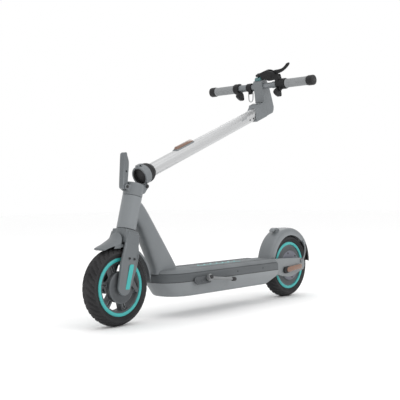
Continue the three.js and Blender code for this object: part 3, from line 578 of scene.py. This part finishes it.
def drawn_in(z):
    """The tray's plan at a height: its sides and nose draw in towards the bottom."""
    low = (122.0 - z) / 50.0
    side_draw, nose_draw = 9.0, 36.0
    points = []
    for x, y in deck_outline(0.4):
        along = (x - DECK_REAR) / (DECK_FRONT - DECK_REAR)
        points.append((x - nose_draw * low * along * along, y * (1 - side_draw * low / DECK_HALF_WIDTH), z))
    return points


def deck():
    middle_x = 400
    heights_and_pulls = [(72.0, 6.0), (72.6, 3.2), (74.5, 1.0), (78.0, 0.0), (90.0, 0.0), (105.0, 0.0),
                         (119.0, 0.0), (121.4, 0.0)]
    rings = []
    for height, pull in heights_and_pulls:
        ring = [(x - math.copysign(pull, x - middle_x), y - math.copysign(pull, y), z)
                for x, y, z in drawn_in(height)]
        rings.append(ring)
    rear_slope = prism([(140, 60), (228, 60), (228, 71), (149, 104), (140, 104)], -95, 95)
    piece("tray_shell", loft(rings), REAR, "chassis", TRAY, "deck_tray", angle=40, cuts=[rear_slope])
    band_rows = [(1.6, 122.2), (0.6, 123.2), (0.6, 141.0), (1.4, 145.5), (3.4, 148.6), (6.0, 149.8)]
    band = loft([at_height(deck_outline(inset), z) for inset, z in band_rows])
    piece("deck_side_band", band, REAR, "chassis", BAND, "deck_top_plate", angle=40)
    seam = loft([at_height(deck_outline(inset), z) for inset, z in ((0.2, 121.3), (0.2, 122.3))])
    piece("tray_seam", seam, REAR, "chassis", BLACK)

    mat_rows = [(5.6, 150.1), (4.6, 151.4), (5.0, 153.4), (8.4, 158.0), (11.0, 160.6), (14.0, 161.7),
                (17.0, 162.0)]
    foot_room = block(664, 800, -26, 26, 149, 170)
    mat_shape = loft([at_height(deck_outline(inset), z) for inset, z in mat_rows])
    mat = piece("deck_mat_rubber", mat_shape, REAR, "chassis", MAT, "deck_mat", angle=40, cuts=[foot_room])
    mat.data.shade_smooth()
    rib_count, first_rib, rib_pitch = 34, 178, 13.0
    ribs = []
    for i in range(rib_count):
        x = first_rib + rib_pitch * i
        reach = 60 if x < 560 else 60 - (x - 560) * 0.12
        for low, high in ((-reach, -24), (24, reach)):
            ribs.append(moved(block(-1.6, 1.6, low, high, 0, 1.0), Matrix.Translation((x, 0, 161.6))))
    piece("mat_ribs", merged(*ribs), REAR, "chassis", MAT, bevel=0.5, segments=2)
    chevrons = []
    for i in range(7):
        x = 300 + 34 * i
        outline = [(x, 16), (x + 9, 16), (x + 21, 0), (x + 9, -16), (x, -16), (x + 12, 0)]
        chevrons.append(prism(outline, 161.7, 162.3, "Z"))
    piece("mat_chevrons", merged(*chevrons), REAR, "chassis", TURQUOISE)

    screws = []
    for x in (560, 400, 250):
        screws += twins(rod, 3.6, 78.6, 81.8, at=(x, 136), segments=20, edge=0.6, bore=1.5)
    piece("band_screws", merged(*screws), REAR, "chassis", BLACK)
    piece("charge_port_cap", rod(13, -82.6, -79, at=(650, 100), edge=1.2), REAR, "chassis", BLACK)
    paint_nodes(BLACK, "battery_pack")
    paint_nodes(STEEL, "motor_controller")


# ---------------------------------------------------------------- main frame
def main_frame():
    tube = lathe([(17, HEAD_TUBE_LOW), (31, HEAD_TUBE_LOW), (32, HEAD_TUBE_LOW + 1),
                  (32, HEAD_TUBE_TOP - 0.8), (31.4, HEAD_TUBE_TOP), (17, HEAD_TUBE_TOP)], "Z")
    piece("head_tube_shell", tube, STEERING, "chassis", GREY, "head_tube", angle=32)
    rear_edge = smooth_path([(650, 150.4), (659, 180), (734, 286), (808, 386), (836, 398)])
    front_edge = smooth_path([(757, 150.4), (757, 168), (788, 236), (824, 305), (850, 340)])
    squareness = 0.7
    rings = []
    for i, (rear, front) in enumerate(zip(rear_edge, front_edge)):
        centre, reach = (rear + front) / 2, (front - rear) / 2
        wide = 31.5 - 3 * i / len(rear_edge)
        ring = []
        for k in range(48):
            angle = 2 * math.pi * k / 48
            along = math.copysign(abs(math.cos(angle)) ** squareness, math.cos(angle))
            side = math.copysign(abs(math.sin(angle)) ** squareness, math.sin(angle))
            ring.append((centre.x + reach.x * along, wide * side, centre.y + reach.y * along))
        rings.append(ring)
    column = moved(rod(31.9, 150, 330, "Z", segments=96), REAR.inverted() @ STEERING)
    piece("down_tube_shell", loft(rings), REAR, "chassis", GREY, "down_tube", angle=40, cuts=[column])
    paint_nodes(STEEL, "headset_bearing_lower", "headset_bearing_upper", "steerer_tube")


def wheel_sheet(angles, radius_at, half_width_at, skirt_at, wall=2.4):
    """A fender: a rounded channel whose crown, width and side walls follow the angle round the wheel."""
    rings = []
    for deg in angles:
        top, half, skirt = radius_at(deg), half_width_at(deg), skirt_at(deg)
        corner = min(13.0, (top - skirt) * 0.8)
        section = [(skirt, -half)]
        section += [(top - corner + corner * math.sin(a), -half + corner - corner * math.cos(a))
                    for a in [math.radians(15 * k) for k in range(7)]]
        section += [(top + 1.2, 0.0)]
        section += [(r, -y) for r, y in reversed(section[:-1])]
        inner = []
        for r, y in section:
            under_crown = abs(y) < half - corner * 0.35
            inner.append((r - wall if under_crown else r, y * (half - wall) / half))
        inner[0], inner[-1] = (skirt, -half + wall), (skirt, half - wall)
        loop = section + inner[::-1]
        turn = math.radians(deg)
        rings.append([(r * math.cos(turn), y, r * math.sin(turn)) for r, y in loop])
    return loft(rings)


def steps_between(start, stop, count):
    return [start + (stop - start) * i / count for i in range(count + 1)]


def rear_fender_radius(deg):
    return 141.0 + 8.5 * math.sin(math.radians(deg))


def rear_end():
    def half_width(deg):
        return 33.2 - 0.0011 * max(0.0, deg - 130) ** 2

    def skirt(deg):
        return 112.0 + 8.0 * min(1.0, max(0.0, deg - 30) / 50)

    shell = wheel_sheet(steps_between(2, 143, 60), rear_fender_radius, half_width, skirt)
    piece("fender_shell", shell, REAR_WHEEL, "chassis", GREY, "rear_fender", angle=50)
    hook = [(43, 266), (45, 270), (53, 275), (64, 277), (76, 274), (86, 265), (82, 262.4), (71, 267),
            (64, 265), (63, 258)]
    piece("fender_catch", prism(smooth_outline(hook, 4), -10, 10), REAR, "chassis", GREY, bevel=1.6)
    piece("fender_foot", block(139.8, 149.6, -24, 24, 133, 146), REAR, "chassis", GREY, bevel=1.5)
    flap = wheel_sheet(steps_between(143.4, 176, 20), rear_fender_radius,
                       lambda deg: 32.3 - 0.0016 * (deg - 143) ** 2, lambda deg: 123.0 + 0.12 * (deg - 143.4))
    piece("mud_flap_rubber", flap, REAR_WHEEL, "chassis", BLACK, "mudflap", angle=50)
    lamp_rows = []
    for deg in steps_between(149, 159, 8):
        turn = math.radians(deg)
        middle = 1 - ((deg - 154) / 5.0) ** 2
        ring = [(0.5, -18), (0.5, 18), (3.0 + 3.4 * middle ** 0.5, 15), (4.2 + 3.2 * middle ** 0.5, 0),
                (3.0 + 3.4 * middle ** 0.5, -15)]
        base = rear_fender_radius(deg)
        lamp_rows.append([((base + up) * math.cos(turn), y, (base + up) * math.sin(turn)) for up, y in ring])
    piece("tail_lamp", loft(lamp_rows), REAR_WHEEL, "chassis", RED, "tail_light", bevel=0.8)

    arm_side = [(149.8, 106), (149.8, 159.5), (110, 160), (60, 158), (-40, 153.5), (-52, 149), (-57, 139),
                (-57, 120), (-50, 108), (30, 86), (60, 85), (105, 93)]

    def side_parts(side, flip):
        where = REAR @ flip
        arm = merged(prism(arm_side, 40, 60), prism(link_outline(0, 125, 22, -4, 125, 22), 34.2, 41))
        axle_room = rod(6.3, 20, 55.3, at=(0, 125))
        piece(f"arm_casting_{side}", arm, where, "chassis", GREY_LIGHT, f"rear_arm_{side}", cast=1.2,
              cuts=[axle_room])
        holder = prism(link_outline(79, 113, 13, 58, 114.8, 12.0), 60.2, 67.5)
        piece(f"reflector_holder_{side}", holder, where, "chassis", BLACK, bevel=1.6)
        lens = prism(link_outline(64, 114.4, 10.4, -18, 121.5, 9.3), 60.2, 69.4)
        piece(f"reflector_{side}", lens, where, "chassis", AMBER, f"rear_reflector_{side}", bevel=2.4,
              segments=4)
        low_end, high_end = (-34, 141), (-86, 214)
        stay = [Vector(p) for p in ((low_end[0], 63, low_end[1]), (-48, 64, 158), (-66, 57, 182),
                                    (-78, 47, 200), (high_end[0], 38, high_end[1]))]
        ends = [rod(7, 60.4, 64.6, at=low_end), rod(6, 33.7, 40, at=high_end),
                rod(3.4, 64.0, 66.4, at=low_end, bore=1.4)]
        piece(f"fender_stay_bar_{side}", merged(sweep(smooth_path(stay, 6), 3.0, 14), *ends), where,
              "chassis", GREY, f"fender_stay_{side}")

    both_sides(side_parts)
    axle = (0, 125)
    nuts = twins(prism, around(10, 6, at=axle), 32.3, 33.7)
    piece("rear_axle_shaft", merged(rod(6, -55, 55, at=axle), *nuts), REAR, "chassis", STEEL, "rear_axle")


def kickstand():
    plate = prism(link_outline(0, -3, 13, 56, -4, 13), 4, 9)
    bosses = [rod(7, 8.4, 10.6, at=(56, -4)), rod(7, 8.4, 10.6, at=(34, -4))]
    piece("stand_bracket", merged(plate, rod(5, 5, 27), *bosses), STAND, "chassis", ALLOY,
          "kickstand_bracket", bevel=0.8)
    piece("stand_bolt", rod(8, 24.6, 28, segments=6), STAND, "chassis", BLACK)
    path = [Vector(p) for p in ((-2, 16.5, -1.5), (-20, 16.5, -4.2), (-80, 16.5, -11), (-129, 16, -16.6))]
    leg = sweep(smooth_path(path, 8), lambda t: 8.0 - 2.5 * min(1.0, t * 2.2), 16)
    piece("stand_leg", merged(leg, rod(11.2, 10.2, 24)), STAND, "kickstand", ZINC, "kickstand_leg")
    boot_path = [Vector((x, 16.1, -2 + 0.1139 * x)) for x in (-111, -114, -128, -131)]
    boot = sweep(boot_path, lambda t: 7.8 if 0.1 < t < 0.9 else 6.2, 18)
    piece("stand_boot", boot, STAND, "kickstand", BLACK)


# ---------------------------------------------------------------- steering
def fork():
    leg_side = arc(4, 0, 24, 180, 360, 16) + [(35, 74), (30, 130), (24, 176), (-24, 176), (-30, 130),
                                              (-31, 74)]
    crown_face = [(-43, CROWN_BOTTOM), (43, CROWN_BOTTOM), (43, 146), (38, 160), (33.5, 174), (32, 184),
                  (-32, 184), (-33.5, 174), (-38, 160), (-43, 146)]
    crown = prism(crown_face, -29, 29, "X")
    column = rod(32.5, 150, 186, "Z", segments=64)
    legs = twins(prism, leg_side, 36.2, 43)
    wheel_room = block(-70, 70, -36, 36, -60, CROWN_BOTTOM - 0.4)
    piece("fork_casting", merged(crown, column, *legs), STEERING, "steering", GREY_DEEP, "fork", cast=1.6,
          relax=10, cuts=[wheel_room])
    cover_side = arc(4, 0, 26, 180, 360, 28) + [(33, 40), (36, 74), (34.5, 105), (30, 130), (25, 168),
                                                (-25, 168), (-29.5, 130), (-32, 105), (-32.5, 74),
                                                (-28, 40)]

    def covers(side, flip):
        where = STEERING @ flip
        rings = []
        for inset, y in ((0, 43.3), (0, 46.2), (0.8, 48.2), (2.6, 49.5), (5.5, 50.2)):
            ring = []
            for x, z in cover_side:
                pull = 1 - inset / 33.0
                depth = 1 - inset / 95.0
                slope = 0.0030 * max(0.0, z - 98) ** 2
                ring.append((x * pull, y - slope, 62 + (z - 62) * depth))
            rings.append(ring)
        axle_room = rod(11, 30, 47)
        piece(f"leg_cover_{side}", loft(rings), where, "steering", GREY_DEEP, f"fork_cover_{side}", angle=42,
              cuts=[axle_room])
        strip = [(-14.5, -3), (2, -6), (2.5, 71), (-3, 75), (-13.5, 76.5), (-15.5, 72)]
        piece(f"leg_strip_{side}", prism(strip, 49.6, 51.0), where, "steering", TURQUOISE, bevel=0.6)
        screws = [rod(3.8, 48.4, 50.9, at=spot, segments=18, edge=0.5, bore=1.8)
                  for spot in ((7, 92), (-14, 94))]
        piece(f"leg_screws_{side}", merged(*screws), where, "steering", BLACK)

    both_sides(covers)
    axle = [rod(6, -46, 46), *twins(prism, around(10, 6), 43.5, 46.5)]
    piece("front_axle_nuts", merged(*axle), STEERING, "steering", STEEL, "front_axle", bevel=0.4)


def front_mudguard():
    def radius_at(deg):
        return 136.8 + 0.0008 * max(0.0, deg - 112) ** 2

    def half_width(deg):
        return 33.0 - 0.003 * max(0.0, deg - 130) ** 2

    def skirt(deg):
        return 125.0 + 0.02 * max(0.0, deg - 140)

    arch = wheel_sheet(steps_between(68, 163, 50), radius_at, half_width, skirt, 2.2)
    room_bottom = CROWN_BOTTOM - 0.4
    crown_room = block(-31, 31, -60, 60, room_bottom, 220)
    column_room = rod(33, room_bottom, 230, "Z", segments=64)
    top_edge = smooth_path([(37, 170), (46, 153.5), (56, 142), (77, 124), (95, 112), (109, 101.5)], 4)
    beak_rows = []
    for x, top in top_edge:
        t = (x - 37) / (109 - 37)
        half = 33.0 - 21.0 * t ** 2.2
        skirt_radius = 122.0 + 7.0 * min(1.0, t * 1.5)
        low = max(math.sqrt(skirt_radius ** 2 - x * x), 97.0)
        low = min(low, top - 3.5)
        bend = [math.radians(12 * k) for k in range(16)]
        beak_rows.append([(x, -half * math.cos(a), low + (top - low) * math.sin(a) ** 0.6) for a in bend])
    wheel_room = rod(134.2, -30.6, 30.6, segments=128)
    beak = loft(beak_rows)
    piece("mudguard_shell", merged(arch, beak), STEERING, "steering", GREY_DEEP, "front_mudguard", cast=1.1,
          relax=8, cuts=[crown_room, column_room, wheel_room])


def steering_column():
    low = HEAD_TUBE_TOP + 1
    ring = lathe([(14.6, low), (31.5, low), (32.2, low + 1), (33, 334), (32.2, 337.6), (30.5, FOLD_BASE_TOP),
                  (26, FOLD_BASE_TOP), (25, 337), (25, 326), (14.6, 326)], "Z")
    ears = twins(prism, link_outline(*LOCK_PIVOT, 8, 18, 316, 13), 9.6, 15.6)
    webs = twins(prism, link_outline(*FOLD_HINGE, 8, -22, 322, 11), 12.4, 24)
    lever_room = rod(11, -9.4, 9.4, at=LOCK_PIVOT)
    knuckle_room = rod(13, -12.3, 12.3, at=FOLD_HINGE)
    pin_hole = rod(4.4, -40, 40, at=FOLD_HINGE)
    socket = rod(25, 326, 345, "Z", segments=48)
    piece("fold_base_casting", merged(ring, *ears, *webs), STEERING, "steering", GREY, "fold_base", cast=1.0,
          relax=4, cuts=[lever_room, knuckle_room, pin_hole, socket])
    pin_heads = twins(rod, 6.6, 24.3, 27.6, at=FOLD_HINGE, bore=2.4)
    pin = merged(rod(4, -26, 26, at=FOLD_HINGE), *pin_heads)
    piece("fold_pin", pin, STEERING, "steering", BLACK, "hinge_pin")

    x, z = LOCK_PIVOT
    side = [(-6, -5), (2, -8.5), (10, -7.5), (13.5, 0), (16.5, 12), (33, 93), (32.5, 101), (28.5, 106.5),
            (22.5, 105.5), (18.5, 98), (9.5, 85), (4.5, 70), (-2.5, 26), (-5, 8)]
    body = prism(smooth_outline([(x + ahead, z + up) for ahead, up in side], 3), -9, 9)
    hole = rod(3.2, -14, 14, at=(x + 10, 366), segments=24)
    piece("lock_lever_body", body, STEERING, "lock", GREY_DEEP, "lock_lever", bevel=2.6, segments=4,
          cuts=[hole])
    heads = twins(rod, 5.4, 15.8, 17.4, at=LOCK_PIVOT, bore=2)
    piece("lock_lever_pin", merged(rod(3.5, -17, 17, at=LOCK_PIVOT), *heads), STEERING, "lock", BLACK)


# ---------------------------------------------------------------- stem
def stem():
    on_stem = Matrix.Translation((STEM_CENTRE, 0, 0))
    wall = lathe([(27, 1.2), (31.5, 1.0), (33, 2.6), (33, 28.4), (31.5, 30), (22.2, 30), (22.2, 15.2),
                  (27, 15)], "Z")
    knuckle = prism(link_outline(0, 0, 8.4, 13, 13, 9), -11.7, 11.7)
    tab = block(60, 72, -7, 7, 3, 24)
    tab_hole = rod(3.6, -20, 20, at=(67, 13), segments=32)
    pin_hole = rod(4.4, -40, 40)
    mouth = rod(27, -10, 15, "Z", at=(STEM_CENTRE, 0), segments=64)
    base_knuckle_rooms = twins(rod, 13, 11.7, 30)
    piece("fold_collar_casting", merged(moved(wall, on_stem), knuckle, tab), STEM, "stem", GREY,
          "fold_collar", cast=1.0, relax=4, cuts=[tab_hole, pin_hole, mouth, *base_knuckle_rooms])
    lining = lathe([(26.8, 2.6), (26.8, 14.4), (25.8, 14.4), (25.2, 3.4)], "Z")
    floor = rod(25.4, 12.4, 14.6, "Z", segments=64)
    piece("collar_lining", moved(merged(lining, floor), on_stem), STEM, "stem", BLACK)
    seal = lathe([(22.0, 30.4), (32.4, 30.4), (33, 31.6), (33, 37.5), (31.8, 39), (32.4, 41.5), (30.4, 47),
                  (27, 53), (25, 57), (22.0, 58)], "Z")
    piece("collar_gasket", moved(seal, on_stem), STEM, "stem", BLACK, "collar_seal")

    squareness = 2.6
    rings = []
    for z in (18.4, 19.5, 200, 400, 600, 700, 701.5):
        ring = []
        for x, y in around(1.0, 72):
            reach = (abs(x) ** squareness + abs(y) ** squareness) ** (-1 / squareness)
            size = min(STEM_HALF * reach, 22.6)
            ring.append((STEM_CENTRE + size * x, size * y, z))
        rings.append(ring)
    piece("stem_extrusion", loft(rings), STEM, "stem", SILVER, "stem_tube", angle=60)
    front = STEM_CENTRE + STEM_HALF
    holder = ("stem_reflector_holder", 194, 292, 3.2, 12.5, GREY, ())
    lens = ("stem_reflector_lens", 199, 289, 10.0, 10.2, AMBER, ("stem_reflector",))
    for name, low, high, depth, half, material, nodes in (holder, lens):
        rows = []
        for z in (low, low + 1.5, low + 6, high - 6, high - 1.5, high):
            near = min(z - low, high - z)
            lift = depth if near > 3 else depth * 0.55
            size = half if near > 3 else half * 0.86
            ring = [(front - 5, -size, z), (front + lift * 0.5, -size, z), (front + lift, -size * 0.55, z),
                    (front + lift * 1.05, 0, z), (front + lift, size * 0.55, z),
                    (front + lift * 0.5, size, z), (front - 5, size, z)]
            rows.append(ring)
        piece(name, loft(rows), STEM, "stem", material, *nodes, bevel=0.8)
    screws = [rod(3.2, 20.6, 22.4, at=(STEM_CENTRE - 6, z), segments=18, edge=0.5, bore=1.4)
              for z in (612, 634)]
    piece("stem_screws", merged(*screws), STEM, "stem", BLACK)
    marks = []
    for i in range(4):
        z = 562 + 9 * i
        mark = [(STEM_CENTRE + x, z + up) for x, up in ((4, 0), (10, 3), (10, 7), (4, 4))]
        marks.append(prism(mark, 20.9, 21.8))
    piece("stem_marks", merged(*marks), STEM, "stem", GREY_LIGHT)


def stem_head():
    block_side = [(10, 646), (28, 646), (44, 655), (58, 677), (67, 686), (67, 716), (62, 722), (10, 716)]
    neck_side = [(10, 690), (56, 690), (66, 722), (102, 730), (122, 733), (140, 736), (147, 743), (147, 762),
                 (140, 772), (121, 779), (56, 779), (30, 778), (18, 772), (10, 762)]
    socket = rod(22.7, 630, 703, "Z", at=(STEM_CENTRE, 0), segments=64)
    seat = rod(11.4, -60, 60, at=BAR_IN_STEM)
    lens_room = block(63.2, 80, -18.5, 18.5, 689.5, 716.5)
    piece("head_casting", merged(prism(block_side, -26, 26), prism(neck_side, -21, 21)), STEM, "stem", GREY,
          "stem_head", cast=1.1, relax=12, cuts=[socket, seat, lens_room])
    lens = prism([(63.4, 691), (66.8, 692), (67.8, 696), (67.8, 710), (66.8, 714), (63.4, 715)], -17, 17)
    piece("headlight_glass", lens, STEM, "stem", LENS, "headlight_lens", bevel=1.2)
    bars = ((-19.5, 19.5, 687.5, 690.6), (-19.5, 19.5, 715.4, 718.5), (17.4, 19.5, 687.5, 718.5),
            (-19.5, -17.4, 687.5, 718.5))
    bezel = merged(*[block(64, 67.4, *sides) for sides in bars])
    piece("headlight_bezel", bezel, STEM, "stem", BLACK, bevel=0.6)
    screen = prism([(52.5, 775), (117.5, 775), (117.5, 780.6), (52.5, 780.9)], -15.6, 15.6)
    button_place = (106, 0)
    button_room = rod(5.4, 760, 805, "Z", at=button_place)
    piece("display_glass", screen, STEM, "stem", GLOSS_BLACK, "display", bevel=1.2, segments=4,
          cuts=[button_room])
    button = rod(5, 774, 783, "Z", at=button_place, edge=1.0)
    piece("power_key", button, STEM, "power", TURQUOISE_DARK, "power_button")
    cover = smooth_outline([(146.8, 742), (155, 743), (159, 750), (159.6, 762), (158.6, 772), (154, 776),
                            (146.8, 771)], 4)
    piece("front_cover", prism(cover, -13, 14), STEM, "stem", TEAL_CLEAR, "front_housing", bevel=2.2,
          segments=4)


# ---------------------------------------------------------------- handlebar
def handlebar():
    bar = lathe([(8.6, -244.8), (10.4, -244.8), (11, -244), (11, 244), (10.4, 244.8), (8.6, 244.8)],
                segments=64)
    piece("bar_tube", bar, BAR, "stem", GREY, "handlebar")
    sleeve_right = lathe([(11.2, -122), (14, -120), (14, -62), (11.2, -60)], segments=64)
    sleeve_left = lathe([(11.2, 60), (13, 61), (13, 78), (11.2, 79)], segments=64)
    piece("bar_sleeves", merged(sleeve_right, sleeve_left), BAR, "stem", GREY_DEEP)

    def side_parts(side, flip):
        where = BAR @ flip
        profile = [(11.3, 124.2), (15.6, 124.2), (17.4, 125.4), (17.4, 129.4), (16.5, 130.6)]
        ridge_count, first_ridge, ridge_pitch = 16, 133, 5.2
        for i in range(ridge_count):
            start = first_ridge + ridge_pitch * i
            profile += [(16.5, start), (16.15, start + 0.7), (16.15, start + 1.9), (16.5, start + 2.6)]
        profile += [(16.5, 216.5), (17.3, 218), (17.3, 220.2), (16.2, 221), (11.3, 221)]
        piece(f"grip_sleeve_{side}", lathe(profile), where, "stem", GRIP, f"grip_{side}", angle=50)
        cap = lathe([(0.05, 249), (15.2, 249), (17.8, 247.8), (19, 245), (19, 226), (18, 222.6), (16, 221.4),
                     (11.3, 221.4), (11.3, 245.4), (0.05, 245.4)], segments=80)
        dots = [rod(1.5, 248.6, 249.0, at=spot, segments=14, edge=0.15) for spot in around(9, 8)]
        piece(f"bar_cap_{side}", merged(cap, *dots), where, "stem", BLACK, f"bar_end_{side}", angle=45)
        ring = lathe([(11.3, 98), (19, 98), (20.6, 99.6), (20.6, 109), (19.8, 110), (19.8, 111), (20.6, 112),
                      (20.6, 121.4), (19, 123), (11.3, 123)], segments=80)
        lug = prism(link_outline(*THUMB_PIVOT, 8, 0, 0, 13), 98, 103)
        bore = rod(BAR_ROOM, 90, 130)
        pin_room = rod(3.4, 97, 110, at=THUMB_PIVOT)
        piece(f"thumb_mount_{side}", merged(ring, lug), where, "stem", BLACK, f"thumb_ring_{side}", cast=0.9,
              relax=3, cuts=[bore, pin_room])
        node, body = ("lights_lever", "lights") if side == "left" else ("throttle_lever", "throttle")
        paddle = smooth_outline([(-27, -6.5), (-17, -7.5), (-10, -15), (-10.5, -30), (-15, -40), (-23, -41.5),
                                 (-37, -30), (-44, -19), (-42, -10)], 4)
        shape = merged(prism(paddle, 84, 97.5), rod(3, 96, 102.4, at=THUMB_PIVOT))
        piece(f"{node}_pad", shape, where, body, BLACK, node, cast=0.9, relax=7)

    both_sides(side_parts)


def brake():
    pivot = (34, 66)
    ring = rod(15.5, 80, 96, segments=64)
    bridge = prism(smooth_outline([(4, -12), (24, -8), (40, 0), (36, 15), (8, 14)], 4), 80, 96)
    body_plan = [(38.8, 0), (40, -6), (48, -6), (51, 10), (56, 28), (59, 42), (57, 56), (52, 68), (48, 78),
                 (44, 83), (21, 83), (19, 72), (18, 50), (24, 34), (27, 22), (30, 16), (38.8, 15)]
    body = prism(smooth_outline(body_plan, 3), -5, 19, "Z")
    nose = sweep([Vector((44, y, 11)) for y in (46, 36, 24, 18, 4, -8)], lambda t: 9.0 - 3.6 * t, 24,
                 side_way=(1, 0, 0))
    slots = [block(24, 80, 43.5, 80, 1.7, 14.3), block(31, 80, 79, 110, 1.7, 14.3)]
    bore = rod(BAR_ROOM, 30, 100)
    pivot_room = rod(3.4, -20, 30, "Z", at=pivot)
    piece("brake_clamp_body", merged(ring, bridge, body, nose), BAR, "stem", BLACK, "brake_bracket", cast=1.0,
          relax=8, cuts=[*slots, bore, pivot_room])
    knurls = [prism(around(6.4, 18, at=(44, 11)), -6 + 3 * k, -4.6 + 3 * k) for k in range(3)]
    piece("cable_adjuster_knob", merged(*knurls), BAR, "stem", GLOSS_BLACK, bevel=0.3)
    blade = [(27, 54), (38, 48.5), (50, 58), (54.5, 76), (55, 94), (58, 114), (66, 130), (75, 142),
             (74.5, 149.5), (68.5, 149), (61, 141), (52, 127), (44, 110), (38, 88), (29, 74)]
    pin = rod(3, -6, 19, "Z", at=pivot)
    piece("brake_lever_blade", merged(prism(smooth_outline(blade, 3), 2.2, 13.8, "Z"), pin), BAR, "brake",
          BLACK, "brake_lever", cast=0.9, relax=8)


def hook():
    eye_x, eye_z, middle = -20, -5, -49
    clamp = rod(16.5, middle - 11, middle + 11, segments=64)
    lug = block(-24.5, -10, middle - 7.2, middle + 7.2, eye_z - 6.5, eye_z + 6.5)
    bore = rod(BAR_ROOM, -70, -30)
    pin_room = rod(3.6, -60, -38, at=(eye_x, eye_z))
    piece("hook_clamp_ring", merged(clamp, lug), BAR, "stem", BLACK, "hook_clamp", cast=0.9, relax=3,
          cuts=[bore, pin_room])
    down = Vector((-0.931, 0, -0.365))
    half = 10.5
    one_side = [(0, half), (12, half), (26, half - 1), (32, half - 4), (35, half - 8)]
    spots = [(drop, -y) for drop, y in one_side] + one_side[::-1]
    path = [Vector((eye_x, middle + y, eye_z)) + down * drop for drop, y in spots]
    wire = sweep(smooth_path(path, 6), 2.0, 14, side_way=tuple(down.cross(Vector((0, 1, 0)))))
    eye = rod(2, middle - 12, middle + 12, at=(eye_x, eye_z))
    piece("hook_bail_wire", merged(wire, eye), BAR, "bail", STEEL, "hook_bail")


# ---------------------------------------------------------------- floor, light and camera
def stage():
    floor_mesh = bpy.data.meshes.new("floor")
    reach = 14.0
    corners = [(-reach, -reach, 0), (reach, -reach, 0), (reach, reach, 0), (-reach, reach, 0)]
    floor_mesh.from_pydata(corners, [], [(0, 1, 2, 3)])
    floor = bpy.data.objects.new("floor", floor_mesh)
    bpy.context.scene.collection.objects.link(floor)
    pale = surface("pale_floor", (0.985, 0.985, 0.985), 0.9, 0.0, grain=30, bump=0.01, varies=0.004,
                   shine=0.1)
    floor_mesh.materials.append(pale)
    world = bpy.data.worlds.new("studio")
    bpy.context.scene.world = world
    world.use_nodes = True
    background = world.node_tree.nodes["Background"]
    background.inputs["Color"].default_value = (1, 1, 1, 1)
    background.inputs["Strength"].default_value = 1.0
    lamps = (("key", (-0.4, 3.2, 2.6), 24, 2.5), ("top", (0.3, 0.2, 3.6), 16, 3.0),
             ("back", (-2.8, -1.5, 2.4), 14, 2.0))
    for name, place, power, size in lamps:
        data = bpy.data.lights.new(name, "AREA")
        data.energy = power
        data.size = size
        lamp = bpy.data.objects.new(name, data)
        lamp.location = place
        aim = Vector((0, 0, 0.4)) - Vector(place)
        lamp.rotation_euler = aim.to_track_quat("-Z", "Y").to_euler()
        bpy.context.scene.collection.objects.link(lamp)
    bpy.context.scene.view_settings.view_transform = "Standard"


def camera():
    """The photograph's viewpoint: from the front left, at the height of the folding joint."""
    rear_x = JOINTS["rear_wheel_spin"]["pos_m"][0]
    place = Vector((rear_x + 2.652, 1.889, 0.411))
    yaw, pitch, roll = math.radians(-138.63), math.radians(-0.34), -0.0165
    look = Vector((math.cos(pitch) * math.cos(yaw), math.cos(pitch) * math.sin(yaw), math.sin(pitch)))
    right = look.cross(Vector((0, 0, 1))).normalized()
    up = right.cross(look)
    turned_right = right * math.cos(roll) + up * math.sin(roll)
    turned_up = up * math.cos(roll) - right * math.sin(roll)
    data = bpy.data.cameras.new("view")
    data.lens = 72.3
    data.sensor_width = 36.0
    data.clip_end = 100
    view = bpy.data.objects.new("view", data)
    rotation = Matrix((turned_right, turned_up, -look)).transposed().to_4x4()
    view.matrix_world = Matrix.Translation(place) @ rotation
    bpy.context.scene.collection.objects.link(view)
    bpy.context.scene.camera = view


camera()
stage()
front_wheel()
brake_drum()
rear_wheel()
deck()
main_frame()
rear_end()
kickstand()
fork()
front_mudguard()
steering_column()
stem()
stem_head()
handlebar()
brake()
hook()
